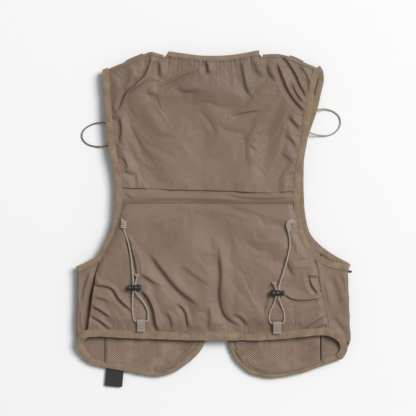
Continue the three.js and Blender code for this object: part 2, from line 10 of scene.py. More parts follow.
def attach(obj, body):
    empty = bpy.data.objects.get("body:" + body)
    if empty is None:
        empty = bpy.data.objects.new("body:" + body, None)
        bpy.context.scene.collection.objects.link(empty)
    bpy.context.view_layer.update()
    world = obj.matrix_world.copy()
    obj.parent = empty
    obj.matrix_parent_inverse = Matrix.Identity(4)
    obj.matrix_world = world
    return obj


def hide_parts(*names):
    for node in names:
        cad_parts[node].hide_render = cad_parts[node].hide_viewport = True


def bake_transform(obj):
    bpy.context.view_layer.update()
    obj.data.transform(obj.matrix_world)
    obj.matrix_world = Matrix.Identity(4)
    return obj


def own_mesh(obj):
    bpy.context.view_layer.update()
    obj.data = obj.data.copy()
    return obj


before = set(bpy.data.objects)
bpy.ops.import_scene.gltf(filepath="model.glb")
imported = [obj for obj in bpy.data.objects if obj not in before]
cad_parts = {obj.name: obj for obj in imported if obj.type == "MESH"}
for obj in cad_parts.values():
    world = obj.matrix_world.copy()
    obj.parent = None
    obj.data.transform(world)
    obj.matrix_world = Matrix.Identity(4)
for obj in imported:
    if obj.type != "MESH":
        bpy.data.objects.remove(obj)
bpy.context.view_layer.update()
scene = bpy.context.scene

# Camera: straight above the back, with the collar up.
view = {"x": -0.0095, "y": 0.0209, "height": 3.0, "width": 0.7904, "sensor": 36}
lens = bpy.data.cameras.new("camera")
lens.sensor_width = view["sensor"]
lens.lens = view["sensor"] * view["height"] / view["width"]
lens.clip_end = 20
camera = bpy.data.objects.new("camera", lens)
camera.location = (view["x"], view["y"], view["height"])
scene.collection.objects.link(camera)
scene.camera = camera


# Lines and meshes
def smoothLine(points, step):
    # an even line through given points
    p = np.array(points, float)
    p = np.vstack([2 * p[0] - p[1], p, 2 * p[-1] - p[-2]])
    t = np.linspace(0, 1, 16, endpoint=False)[:, None]
    fine = []
    for a, b, c, d in zip(p, p[1:], p[2:], p[3:]):
        bend = 2 * a - 5 * b + 4 * c - d
        twist = 3 * b - a - 3 * c + d
        fine.append(0.5 * (2 * b + (c - a) * t + bend * t**2 + twist * t**3))
    return evenLine(np.vstack(fine + [p[-2:-1]]), step)


def runAlong(points):
    return np.concatenate([[0], np.cumsum(np.linalg.norm(np.diff(points, axis=0), axis=1))])


def unit(rows):
    return rows / np.linalg.norm(rows, axis=1)[:, None]


def evenLine(points, step):
    p = np.array(points, float)
    run = runAlong(p)
    stops = np.linspace(0, run[-1], max(2, round(run[-1] / step) + 1))
    return np.column_stack([np.interp(stops, run, p[:, k]) for k in range(p.shape[1])])


def beside(points, distance):
    # the line moved to its left in plan
    p = np.array(points, float)
    along = unit(np.gradient(p[:, :2], axis=0))
    moved = p.copy()
    moved[:, :2] += distance * np.column_stack([-along[:, 1], along[:, 0]])
    return moved


def nearLine(xy, line):
    # distance from the line, left positive, and the length along it
    best = np.full(len(xy), np.inf)
    side = np.ones(len(xy))
    along = np.zeros(len(xy))
    run = 0.0
    for a, b in zip(line[:-1, :2], line[1:, :2]):
        step = b - a
        length = np.linalg.norm(step)
        share = np.clip(((xy - a) @ step) / length**2, 0, 1)
        off = xy - (a + share[:, None] * step)
        away = np.linalg.norm(off, axis=1)
        nearer = away < best
        best[nearer] = away[nearer]
        cross = step[0] * off[:, 1] - step[1] * off[:, 0]
        side[nearer] = np.where(cross[nearer] >= 0, 1, -1)
        along[nearer] = run + share[nearer] * length
        run += length
    return best * side, along, run


def ease(x):
    x = np.clip(x, 0, 1)
    return x * x * (3 - 2 * x)


def inside(xy, outline):
    found = np.zeros(len(xy), bool)
    for a, b in zip(outline, np.roll(outline, -1, axis=0)):
        spans = (a[1] > xy[:, 1]) != (b[1] > xy[:, 1])
        with np.errstate(divide="ignore", invalid="ignore"):
            x = a[0] + (xy[:, 1] - a[1]) * (b[0] - a[0]) / (b[1] - a[1])
        found ^= spans & (xy[:, 0] < x)
    return found


def newPiece(name, vertices, faces, lay=None, smooth=True):
    data = bpy.data.meshes.new(name)
    data.from_pydata([tuple(map(float, v)) for v in vertices], [], [tuple(map(int, f)) for f in faces])
    if lay is not None:
        attribute = data.attributes.new("lay", "FLOAT_VECTOR", "POINT")
        attribute.data.foreach_set("vector", np.asarray(lay, np.float32).ravel())
    data.polygons.foreach_set("use_smooth", [smooth] * len(data.polygons))
    data.update()
    piece = bpy.data.objects.new(name, data)
    scene.collection.objects.link(piece)
    return piece


def places(piece):
    co = np.zeros(len(piece.data.vertices) * 3)
    piece.data.vertices.foreach_get("co", co)
    return co.reshape(-1, 3)


def setPlaces(piece, co):
    piece.data.vertices.foreach_set("co", np.asarray(co, float).ravel())
    piece.data.update()


def flatCloth(outline, step):
    # even triangles inside an outline
    edge = evenLine(np.vstack([outline, outline[:1]]), step)[:-1]
    low, high = edge.min(0), edge.max(0)
    grid = []
    for j, y in enumerate(np.arange(low[1], high[1], step * math.sqrt(0.75))):
        xs = np.arange(low[0] + (j % 2) * step / 2, high[0], step)
        grid.append(np.column_stack([xs, np.full(len(xs), y)]))
    grid = np.vstack(grid)
    grid = grid[inside(grid, edge)]
    closed = np.vstack([edge, edge[:1]])
    grid = grid[np.abs(nearLine(grid, closed)[0]) > 0.6 * step]
    points = np.vstack([edge, grid])
    rim = [(i, (i + 1) % len(edge)) for i in range(len(edge))]
    made = delaunay_2d_cdt([Vector(p) for p in points], rim, [], 1, 1e-7)
    return np.array([tuple(v) for v in made[0]]), made[2], len(edge)


def applyModifiers(piece):
    graph = bpy.context.evaluated_depsgraph_get()
    data = bpy.data.meshes.new_from_object(piece.evaluated_get(graph), preserve_all_data_layers=True,
                                           depsgraph=graph)
    piece.modifiers.clear()
    piece.data = data
    return piece


def subdivide(piece, levels=1):
    soft = piece.modifiers.new("smooth", "SUBSURF")
    soft.levels = levels
    soft.render_levels = levels


def thicken(piece, thickness, smooth=0):
    if smooth:
        subdivide(piece, smooth)
    shell = piece.modifiers.new("thickness", "SOLIDIFY")
    shell.thickness = thickness
    shell.offset = -1
    return applyModifiers(piece)


def tubePiece(name, line, radius, sides=16):
    # a round tube with domed ends; lay holds the length along and the turn round
    line = np.array(line, float)
    along = unit(np.gradient(line, axis=0))
    start = np.cross(along[0], (0.3, 0.2, 1))
    across = [start / np.linalg.norm(start)]
    for direction in along[1:]:
        turned = across[-1] - direction * (across[-1] @ direction)
        across.append(turned / np.linalg.norm(turned))
    across = np.array(across)
    up = np.cross(along, across)
    run = runAlong(line)
    rings = [(line[0] - along[0] * radius * s, across[0], up[0], radius * c, -radius * s)
             for s, c in ((0.9, 0.4), (0.6, 0.8))]
    rings += [(line[i], across[i], up[i], radius, run[i]) for i in range(len(line))]
    rings += [(line[-1] + along[-1] * radius * s, across[-1], up[-1], radius * c, run[-1] + radius * s)
              for s, c in ((0.6, 0.8), (0.9, 0.4))]
    vertices, lay = [], []
    turns = np.linspace(0, 2 * math.pi, sides, endpoint=False)
    for middle, a, b, r, s in rings:
        for turn in turns:
            vertices.append(middle + r * (math.cos(turn) * a + math.sin(turn) * b))
            lay.append((s, math.cos(turn), math.sin(turn)))
    return newPiece(name, vertices, ringFaces(len(rings), sides), lay)


# a rounded tape with a stitched groove near its inner edge: (across, up) as shares of width and thickness
tapeSection = [(-0.5, 0), (-0.485, 0.3), (-0.44, 0.46), (-0.36, 0.5), (-0.325, 0.33), (-0.29, 0.5),
               (-0.1, 0.56),
               (0.1, 0.57), (0.3, 0.52), (0.44, 0.44), (0.485, 0.28), (0.5, 0), (0.44, -0.42), (0.15, -0.5),
               (-0.15, -0.5), (-0.44, -0.42)]


def tapePiece(name, path, width, thickness, across=None, closed=False, wavy=0.0, seed=1):
    # a flat tape swept along a path; lay holds the length along and the place across
    path = np.array(path, float)
    count = len(path)
    if closed:
        along = np.roll(path, -1, axis=0) - np.roll(path, 1, axis=0)
    else:
        along = np.gradient(path, axis=0)
    along = unit(along)
    if across is None:
        across = []
        for direction in along:
            sideways = np.cross((0, 0, 1), direction)
            size = np.linalg.norm(sideways)
            if size < 0.35 and across:
                sideways = across[-1] - direction * (across[-1] @ direction)
            elif across and sideways @ across[-1] < 0:
                sideways = -sideways
            across.append(sideways / np.linalg.norm(sideways))
    across = np.array(across)
    up = np.cross(along, across)
    rng = np.random.default_rng(seed)
    run = runAlong(path)
    wave = sum(rng.uniform(0.4, 1) * np.sin(run / rng.uniform(0.003, 0.012) + rng.uniform(0, 6))
               for _ in range(5)) / 3
    vertices, lay, faces = [], [], []
    for i in range(count):
        stretch = 1 + wavy * 0.5 * wave[i]
        lift = wavy * 0.0011 * wave[i]
        for w, t in tapeSection:
            rise = t * thickness + lift * (0.5 - w)
            vertices.append(path[i] + across[i] * w * width * stretch + up[i] * rise)
            lay.append((run[i], w * width, t * thickness))
    ring = len(tapeSection)
    for i in range(count if closed else count - 1):
        n = (i + 1) % count
        for j in range(ring):
            k = (j + 1) % ring
            faces.append((i * ring + j, n * ring + j, n * ring + k, i * ring + k))
    if not closed:
        faces.append(tuple(range(ring)))
        faces.append(tuple(range((count - 1) * ring, count * ring))[::-1])
    piece = newPiece(name, vertices, faces, lay)
    subdivide(piece)
    return applyModifiers(piece)


def latheAlongX(name, profile, slot=None, sides=40):
    # turned round X from (x, radius) points; slot is (middle, half length, half height), cut through along Y
    turns = np.linspace(0, 2 * math.pi, sides, endpoint=False)
    vertices = [(x, r * math.cos(turn), r * math.sin(turn)) for x, r in profile for turn in turns]
    piece = newPiece(name, vertices, ringFaces(len(profile), sides))
    if slot:
        middle, halfLength, halfHeight = slot
        shape = [(math.copysign(abs(math.cos(t)) ** 0.6, math.cos(t)),
                  math.copysign(abs(math.sin(t)) ** 0.6, math.sin(t)))
                 for t in np.linspace(0, 2 * math.pi, 24, endpoint=False)]
        cutter = newPiece(name + "Slot", [(middle + halfLength * c, y, halfHeight * d) for y in (-0.02, 0.02)
                                          for c, d in shape], ringFaces(2, 24))
        for part in (piece, cutter):
            facesOut(part)
        cut = piece.modifiers.new("slot", "BOOLEAN")
        cut.operation = "DIFFERENCE"
        cut.solver = "EXACT"
        cut.object = cutter
        applyModifiers(piece)
        bpy.data.objects.remove(cutter)
    bevel = piece.modifiers.new("edges", "BEVEL")
    bevel.width = 0.00018
    bevel.segments = 2
    bevel.limit_method = "ANGLE"
    bevel.angle_limit = math.radians(40)
    applyModifiers(piece)
    facesOut(piece)
    return piece


def ringFaces(rings, sides):
    # a skin over rings of points, closed at both ends
    faces = [(i * sides + j, i * sides + (j + 1) % sides, (i + 1) * sides + (j + 1) % sides,
              (i + 1) * sides + j)
             for i in range(rings - 1) for j in range(sides)]
    return faces + [tuple(range(sides))[::-1], tuple(range((rings - 1) * sides, rings * sides))]


def gridFaces(rows, count):
    # a sheet over rows of points
    return [(i * count + j, i * count + j + 1, (i + 1) * count + j + 1, (i + 1) * count + j)
            for i in range(rows - 1) for j in range(count - 1)]


def facesOut(piece):
    made = bmesh.new()
    made.from_mesh(piece.data)
    bmesh.ops.recalc_face_normals(made, faces=made.faces)
    made.to_mesh(piece.data)
    made.free()


def joinPieces(name, parts):
    # several meshes as one piece
    made = bmesh.new()
    for part in parts:
        made.from_mesh(part.data)
    data = bpy.data.meshes.new(name)
    made.to_mesh(data)
    made.free()
    data.polygons.foreach_set("use_smooth", [True] * len(data.polygons))
    for part in parts:
        bpy.data.objects.remove(part)
    piece = bpy.data.objects.new(name, data)
    scene.collection.objects.link(piece)
    return piece


def stitchPiece(name, lines, pitch=0.003, length=0.0019, radius=0.00028):
    # thread lying along lines, one short bead to a stitch
    vertices, faces, lay = [], [], []
    section = [(math.cos(a), math.sin(a)) for a in np.linspace(0, 2 * math.pi, 6, endpoint=False)]
    for line in lines:
        marks = evenLine(line, pitch)
        for a, b in zip(marks[:-1], marks[1:]):
            along = (b - a) / np.linalg.norm(b - a)
            across = np.cross(along, (0, 0, 1))
            across /= np.linalg.norm(across)
            up = np.cross(across, along)
            first = len(vertices)
            for s, r in ((-0.5, 0.35), (-0.3, 0.9), (0, 1.0), (0.3, 0.9), (0.5, 0.35)):
                drop = radius * (1.6 * s * s * 4 - 0.2)
                for c, d in section:
                    outward = r * radius * (c * across + d * up)
                    vertices.append((a + b) / 2 + along * s * length + outward - up * drop)
                    lay.append((s, c, d))
            for i in range(4):
                for j in range(6):
                    k = (j + 1) % 6
                    faces.append((first + i * 6 + j, first + i * 6 + k, first + i * 6 + 6 + k,
                                  first + i * 6 + 6 + j))
            faces.append(tuple(range(first, first + 6))[::-1])
            faces.append(tuple(range(first + 24, first + 30)))
    return newPiece(name, vertices, faces, lay)


# Materials
def paint(red, green, blue):
    # screen colour to the shader's own
    return tuple(((c / 255 + 0.055) / 1.055) ** 2.4 if c > 10.3 else c / 255 / 12.92
                 for c in (red, green, blue)) + (1,)


class Wire:
    # a node's output, which joins in sums
    def __init__(self, finish, output):
        self.finish = finish
        self.output = output

    def math(self, operation, other, turned=False):
        first, second = (other, self) if turned else (self, other)
        return self.finish.node("ShaderNodeMath", {"operation": operation}, {0: first, 1: second})

    def __add__(self, other):
        return self.math("ADD", other)

    def __sub__(self, other):
        return self.math("SUBTRACT", other)

    def __rsub__(self, other):
        return self.math("SUBTRACT", other, True)

    def __mul__(self, other):
        return self.math("MULTIPLY", other)

    def __truediv__(self, other):
        return self.math("DIVIDE", other)

    def __pow__(self, other):
        return self.math("POWER", other)

    __radd__ = __add__
    __rmul__ = __mul__


class Finish:
    # a material under construction
    def __init__(self, name, **fixed):
        self.material = bpy.data.materials.new(name)
        self.material.use_nodes = True
        self.tree = self.material.node_tree
        self.tree.nodes.clear()
        self.out = self.tree.nodes.new("ShaderNodeOutputMaterial")
        self.skin = self.tree.nodes.new("ShaderNodeBsdfPrincipled")
        self.tree.links.new(self.skin.outputs[0], self.out.inputs["Surface"])
        for socket, value in fixed.items():
            self.skin.inputs[socket.replace("_", " ")].default_value = value

    def node(self, kind, settings=None, sockets=None, output=0):
        made = self.tree.nodes.new(kind)
        for key, value in (settings or {}).items():
            if key == "stops":
                while len(made.color_ramp.elements) < len(value):
                    made.color_ramp.elements.new(0.5)
                for element, (place, colour) in zip(made.color_ramp.elements, value):
                    element.position = place
                    element.color = colour
            else:
                setattr(made, key, value)
        for key, value in (sockets or {}).items():
            if isinstance(value, Wire):
                self.tree.links.new(value.output, made.inputs[key])
            else:
                made.inputs[key].default_value = value
        return Wire(self, made.outputs[output])

    def place(self, kind="Object"):
        return self.node("ShaderNodeTexCoord", output=kind)

    def lay(self):
        return self.node("ShaderNodeAttribute", {"attribute_name": "lay"}, output="Vector")

    def parts(self, vector):
        split = self.node("ShaderNodeSeparateXYZ", sockets={0: vector}).output.node
        return [Wire(self, split.outputs[k]) for k in range(3)]

    def scaled(self, vector, x, y, z):
        return self.node("ShaderNodeVectorMath", {"operation": "MULTIPLY"}, {0: vector, 1: (x, y, z)})

    def noise(self, vector, scale, detail=3, rough=0.5):
        return self.node("ShaderNodeTexNoise", sockets={"Vector": vector, "Scale": scale, "Detail": detail,
                                                        "Roughness": rough}, output="Fac")

    def sine(self, value):
        return self.node("ShaderNodeMath", {"operation": "SINE"}, {0: value})

    def size(self, value):
        return self.node("ShaderNodeMath", {"operation": "ABSOLUTE"}, {0: value})

    def span(self, value, low, high, lowTo=0, highTo=1):
        return self.node("ShaderNodeMapRange", {"interpolation_type": "SMOOTHSTEP"},
                         {"Value": value, "From Min": low, "From Max": high, "To Min": lowTo,
                          "To Max": highTo})

    def blend(self, factor, first, second, kind="MIX"):
        return self.node("ShaderNodeMix", {"data_type": "RGBA", "blend_type": kind},
                         {"Factor": factor, 6: first, 7: second}, 2)

    def dress(self, colour=None, rough=None, height=None, depth=0.0002, strength=1.0, **more):
        wanted = {"Base Color": colour, "Roughness": rough}
        for key, value in more.items():
            wanted[key.replace("_", " ")] = value
        if height is not None:
            wanted["Normal"] = self.node("ShaderNodeBump", sockets={"Strength": strength, "Distance": depth,
                                                                     "Height": height})
        for key, value in wanted.items():
            if isinstance(value, Wire):
                self.tree.links.new(value.output, self.skin.inputs[key])
            elif value is not None:
                self.skin.inputs[key].default_value = value
        return self.material


shellCloth = {"light": (134, 113, 97), "dark": (121, 101, 86), "thread": 0.00055, "sheen": 0.06}


def shellFinish(name, values=shellCloth):
    # a fine plain weave with a faint stretch slub along the weft, darkened towards the upper back as painted
    # shade
    made = Finish(name, Sheen_Weight=values["sheen"], Sheen_Roughness=0.4, Specular_IOR_Level=0.3)
    lay = made.lay()
    x, y, _ = made.parts(lay)
    turn = 2 * math.pi / values["thread"]
    warp, weft = made.sine(x * turn), made.sine(y * turn)
    weave = warp * weft
    slub = made.noise(made.scaled(lay, 90, 1400, 1), 1.0, 3)
    broad = made.noise(lay, 9, 4, 0.6)
    fine = made.noise(lay, 900, 2)
    tone = made.span(broad * 0.6 + slub * 0.2 + fine * 0.2, 0.36, 0.64)
    colour = made.blend(tone, paint(*values["dark"]), paint(*values["light"]))
    # painted shade: the colour darkens towards the top of the back, standing in for the shade that lies over
    # the upper back
    colour = made.blend(made.span(y, 0.10, 0.27, 0.0, 0.22), colour, paint(88, 74, 64))
    colour = made.blend(made.span(weave, -1, 1, 0.0, 0.1), colour, paint(88, 75, 66))
    rough = 0.50 + 0.12 * made.noise(lay, 220, 3)
    height = 0.5 * weave + 0.3 * slub + 0.4 * fine
    return made.dress(colour, rough, height, 0.00006, 0.4)


tapeCloth = {"light": (150, 130, 108), "dark": (126, 107, 86), "rib": 0.0011}


def tapeFinish(name, values=tapeCloth):
    # a soft knitted binding with slanted ribs
    made = Finish(name, Sheen_Weight=0.25, Sheen_Roughness=0.5, Specular_IOR_Level=0.25)
    lay = made.lay()
    along, across, _ = made.parts(lay)
    turn = 2 * math.pi / values["rib"]
    rib = made.sine((along + across * 0.6) * turn)
    cross = made.sine((along * 0.3 - across) * turn * 0.8)
    broad = made.noise(lay, 55, 4, 0.6)
    fuzz = made.noise(made.place(), 2600, 2)
    tone = made.span(broad * 0.7 + fuzz * 0.3, 0.34, 0.66)
    colour = made.blend(tone, paint(*values["dark"]), paint(*values["light"]))
    colour = made.blend(made.span(rib, -1, 1, 0.0, 0.16), colour, paint(92, 78, 64))
    rough = 0.74 + 0.12 * broad
    return made.dress(colour, rough, rib * 0.5 + cross * 0.25 + fuzz * 0.5, 0.00012, 0.6)


netCloth = {"thread": (108, 88, 75), "light": (128, 107, 92), "hole": (188, 164, 145), "pitchX": 0.0046,
            "pitchY": 0.0041, "size": 0.29}


def netFinish(name, values=netCloth):
    # warp-knit net with rows of lozenge holes that show the pale cloth behind
    made = Finish(name, Sheen_Weight=0.15, Sheen_Roughness=0.5, Specular_IOR_Level=0.25)
    lay = made.lay()
    x, y, _ = made.parts(lay)
    fold = lambda value, shift: made.size(made.node("ShaderNodeMath", {"operation": "FRACT"},
                                                    {0: value + shift}) - 0.5)
    across, along = x / values["pitchX"], y / values["pitchY"]
    near = [fold(across, shift) * 1.15 + fold(along, shift) for shift in (0.0, 0.5)]
    holes = [made.span(distance, values["size"] + 0.07, values["size"] - 0.07) for distance in near]
    hole = made.node("ShaderNodeMath", {"operation": "MAXIMUM"}, {0: holes[0], 1: holes[1]})
    broad = made.noise(lay, 30, 3)
    patch = made.span(made.noise(lay, 26, 2), 0.4, 0.58)
    fibre = made.noise(made.scaled(lay, 900, 2600, 1), 1.0, 2)
    colour = made.blend(made.span(broad, 0.35, 0.65), paint(*values["thread"]), paint(*values["light"]))
    colour = made.blend(fibre * 0.25, colour, paint(96, 80, 68))
    colour = made.blend(hole * (0.35 + 0.5 * patch), colour, paint(*values["hole"]))
    return made.dress(colour, 0.75 + 0.1 * broad, fibre * 0.4 - hole, 0.0003, 0.7)


def ribbedFinish(name, light, dark, rib, rough=0.75, depth=0.00018, laid=True):
    # woven webbing, ribbed across its length
    made = Finish(name, Sheen_Weight=0.12, Sheen_Roughness=0.5, Specular_IOR_Level=0.3)
    along, across, _ = made.parts(made.lay() if laid else made.place())
    turn = 2 * math.pi / rib
    ribs = made.sine(along * turn)
    warp = made.sine(across * turn * 0.7)
    fuzz = made.noise(made.place(), 1800, 3)
    colour = made.blend(made.span(fuzz * 0.6 + ribs * 0.2 + 0.2, 0.2, 0.8), paint(*dark), paint(*light))
    return made.dress(colour, rough + 0.1 * fuzz, ribs * 0.6 + warp * 0.3 + fuzz * 0.4, depth, 0.7)


braidCloth = {"light": (176, 164, 150), "dark": (132, 119, 106), "pick": 0.0026}


def braidFinish(name, values=braidCloth):
    # a round braid, its strands crossing on two slants
    made = Finish(name, Sheen_Weight=0.1, Sheen_Roughness=0.4, Specular_IOR_Level=0.35)
    along, cosine, sine = made.parts(made.lay())
    turn = 2 * math.pi / values["pick"]
    double = 2 * sine * cosine
    other = cosine * cosine - sine * sine
    oneWay = made.sine(along * turn) * other + made.sine(along * turn + math.pi / 2) * double
    backWay = made.sine(along * turn) * other - made.sine(along * turn + math.pi / 2) * double
    strands = made.node("ShaderNodeMath", {"operation": "MAXIMUM"}, {0: oneWay, 1: backWay})
    fuzz = made.noise(made.place(), 2200, 2)
    colour = made.blend(made.span(strands * 0.7 + fuzz * 0.6, -0.2, 1.0), paint(*values["dark"]),
                        paint(*values["light"]))
    return made.dress(colour, 0.62 + 0.2 * fuzz, strands + 0.4 * fuzz, 0.00025, 0.8)


def plasticFinish(name):
    # moulded nylon, slightly worn pale at its edges
    made = Finish(name, Specular_IOR_Level=0.5)
    grain = made.noise(made.place(), 1500, 3)
    smear = made.noise(made.place(), 140, 3)
    worn = made.span(made.node("ShaderNodeNewGeometry", output="Pointiness"), 0.53, 0.6)
    colour = made.blend(made.span(smear, 0.3, 0.7), paint(26, 26, 28), paint(40, 39, 40))
    colour = made.blend(worn * 0.4, colour, paint(92, 90, 90))
    return made.dress(colour, 0.36 + 0.22 * smear, grain, 0.00006, 0.5)


def metalFinish(name, tone, rough):
    made = Finish(name, Metallic=1.0)
    smear = made.noise(made.place(), 260, 4)
    scratch = made.noise(made.scaled(made.place(), 400, 6000, 6000), 1.0, 2)
    colour = made.blend(smear, paint(*tone), paint(*(c * 0.72 for c in tone)))
    return made.dress(colour, rough + 0.2 * smear, scratch, 0.00003, 0.4)


def threadFinish(name, light, dark):
    made = Finish(name, Sheen_Weight=0.1, Specular_IOR_Level=0.35)
    twist = made.noise(made.place(), 3000, 2)
    colour = made.blend(made.span(twist, 0.3, 0.7), paint(*dark), paint(*light))
    return made.dress(colour, 0.6 + 0.15 * twist, twist, 0.00006, 0.5)


finishes = {
    "shell": shellFinish("shell"),
    "tape": tapeFinish("tape"),
    "net": netFinish("net"),
    "greyWebbing": ribbedFinish("greyWebbing", (166, 155, 144), (130, 119, 108), 0.0016),
    "darkWebbing": ribbedFinish("darkWebbing", (62, 59, 58), (40, 38, 37), 0.0018),
    "pullWebbing": ribbedFinish("pullWebbing", (58, 55, 54), (38, 36, 35), 0.0012, laid=False),
    "shoulderWebbing": ribbedFinish("shoulderWebbing", (136, 117, 101), (108, 93, 80), 0.0018),
    "braid": braidFinish("braid"),
    # the same braid made darker: painted shade for the left elastic loop, which lies in the vest's shadow on
    # the floor
    "shadedBraid": braidFinish("shadedBraid", {"light": (132, 114, 98), "dark": (92, 78, 66), "pick": 0.0022}),
    "plastic": plasticFinish("plastic"),
    "spring": metalFinish("spring", (170, 170, 172), 0.28),
    "darkMetal": metalFinish("darkMetal", (96, 92, 88), 0.34),
    "thread": threadFinish("thread", (132, 114, 98), (96, 82, 70)),
    "darkThread": threadFinish("darkThread", (74, 62, 54), (50, 42, 37)),
}


def place(piece, finish, body="vest", stands=()):
    piece.data.materials.clear()
    piece.data.materials.append(finishes[finish])
    if body:
        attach(piece, body)
    if stands:
        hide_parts(*([stands] if isinstance(stands, str) else stands))
    return piece


print("materials made")

# Cords: each route is the frame's own, in metres
cordSizes = {"diameter": 0.0029, "loopDiameter": 0.0027, "step": 0.0012}
drawcords = {
    "left": {
        "upperLength": 0.112, "loopLength": 0.176,
        "lock": (-0.148, -0.129, 0.0336), "anchor": (-0.169, -0.0105), "tab": (-0.1355, -0.192, 0.0312),
        "knot": (-0.1426, -0.1066, 0.0308), "button": -1, "slide": (-0.074, 0.9973),
        "upper": [(-0.1680, -0.0192, 0.0306), (-0.1630, -0.0340, 0.0293), (-0.1585, -0.0480, 0.0293),
                  (-0.1553, -0.0640, 0.0293), (-0.1534, -0.0800, 0.0293), (-0.1520, -0.0960, 0.0298),
                  (-0.1509, -0.1080, 0.0312), (-0.1500, -0.1180, 0.0329), (-0.1498, -0.1288, 0.0336)],
        "loop": [(-0.1498, -0.1292, 0.0336), (-0.1501, -0.1380, 0.0329), (-0.1512, -0.1480, 0.0308),
                 (-0.1519, -0.1600, 0.0295), (-0.1516, -0.1720, 0.0295), (-0.1503, -0.1820, 0.0302),
                 (-0.1484, -0.1894, 0.0310), (-0.1448, -0.1920, 0.0312), (-0.1355, -0.1920, 0.0312),
                 (-0.1262, -0.1920, 0.0312), (-0.1226, -0.1894, 0.0310), (-0.1220, -0.1815, 0.0302),
                 (-0.1230, -0.1720, 0.0295), (-0.1280, -0.1610, 0.0295), (-0.1350, -0.1505, 0.0306),
                 (-0.1420, -0.1420, 0.0323), (-0.1458, -0.1360, 0.0332), (-0.1462, -0.1290, 0.0336),
                 (-0.1458, -0.1210, 0.0330), (-0.1444, -0.1145, 0.0314), (-0.1432, -0.1103, 0.0305)],
    },
    "right": {
        "upperLength": 0.1225, "loopLength": 0.157,
        "lock": (0.121, -0.139, 0.0336), "anchor": (0.145, -0.010), "tab": (0.1205, -0.196, 0.0312),
        "knot": (0.1152, -0.1214, 0.0308), "button": 1, "slide": (0.237, 0.9715),
        "upper": [(0.1406, -0.0200, 0.0306), (0.1436, -0.0310, 0.0293), (0.1450, -0.0430, 0.0293),
                  (0.1438, -0.0560, 0.0293), (0.1406, -0.0710, 0.0293), (0.1370, -0.0860, 0.0293),
                  (0.1316, -0.1030, 0.0298), (0.1270, -0.1170, 0.0314), (0.1240, -0.1280, 0.0329),
                  (0.1228, -0.1388, 0.0336)],
        "loop": [(0.1228, -0.1392, 0.0336), (0.1234, -0.1470, 0.0330), (0.1276, -0.1600, 0.0300),
                 (0.1322, -0.1720, 0.0295), (0.1342, -0.1830, 0.0302), (0.1336, -0.1926, 0.0310),
                 (0.1298, -0.1960, 0.0312), (0.1205, -0.1960, 0.0312), (0.1112, -0.1960, 0.0312),
                 (0.1068, -0.1924, 0.0310), (0.1058, -0.1835, 0.0302), (0.1082, -0.1730, 0.0295),
                 (0.1134, -0.1610, 0.0298), (0.1178, -0.1490, 0.0324), (0.1192, -0.1390, 0.0336),
                 (0.1188, -0.1316, 0.0330), (0.1168, -0.1264, 0.0316), (0.1158, -0.1246, 0.0310)],
    },
}
elasticLoops = {
    "left": {"length": 0.128,
             "line": [(-0.2001, 0.1806, 0.0090), (-0.2100, 0.1826, 0.0070), (-0.2210, 0.1822, 0.0030),
                      (-0.2330, 0.1780, 0.0016), (-0.2435, 0.1710, 0.0016), (-0.2490, 0.1610, 0.0016),
                      (-0.2470, 0.1505, 0.0016), (-0.2380, 0.1420, 0.0016), (-0.2260, 0.1382, 0.0020),
                      (-0.2130, 0.1374, 0.0046), (-0.1938, 0.1400, 0.0088)]},
    "right": {"length": 0.131,
              "line": [(0.1986, 0.2074, 0.0090), (0.2070, 0.2086, 0.0066), (0.2170, 0.2080, 0.0030),
                       (0.2290, 0.2036, 0.0016), (0.2385, 0.1955, 0.0016), (0.2420, 0.1840, 0.0016),
                       (0.2385, 0.1720, 0.0016), (0.2290, 0.1628, 0.0016), (0.2170, 0.1584, 0.0020),
                       (0.2040, 0.1586, 0.0048), (0.1920, 0.1606, 0.0084), (0.1815, 0.1640, 0.0096)]},
}


def knotPiece(name, middle, size=0.00108, thickness=0.00125):
    turns = np.linspace(0, 2 * math.pi, 60)
    line = [(middle[0] + size * (math.sin(t) + 2 * math.sin(2 * t)),
             middle[1] + size * (math.cos(t) - 2 * math.cos(2 * t)),
             middle[2] - 1.1 * size * math.sin(3 * t)) for t in turns]
    return tubePiece(name, line, thickness, 12)


for side, cord in drawcords.items():
    knot = place(knotPiece(f"tailKnot_{side}", cord["knot"]), "braid", f"cord_lock_{side}",
                 f"cord_end_knot_{side}")
    upper = smoothLine(cord["upper"], cordSizes["step"])
    loop = smoothLine(cord["loop"], cordSizes["step"])
    radius = cordSizes["diameter"] / 2
    piece = place(tubePiece(f"drawcordUpper_{side}", upper, radius), "braid", None, f"drawcord_upper_{side}")
    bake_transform(piece)
    piece = place(tubePiece(f"drawcordLoop_{side}", loop, radius), "braid", None, f"drawcord_loop_{side}")
    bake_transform(piece)
    elastic = smoothLine(elasticLoops[side]["line"], cordSizes["step"])
    piece = tubePiece(f"elasticLoop_{side}", elastic, cordSizes["loopDiameter"] / 2)
    # the left loop takes the darker braid, painted shade for the vest's shadow over it
    place(piece, "shadedBraid" if side == "left" else "braid", "vest", f"chest_elastic_loop_{side}")

print("cords laid")

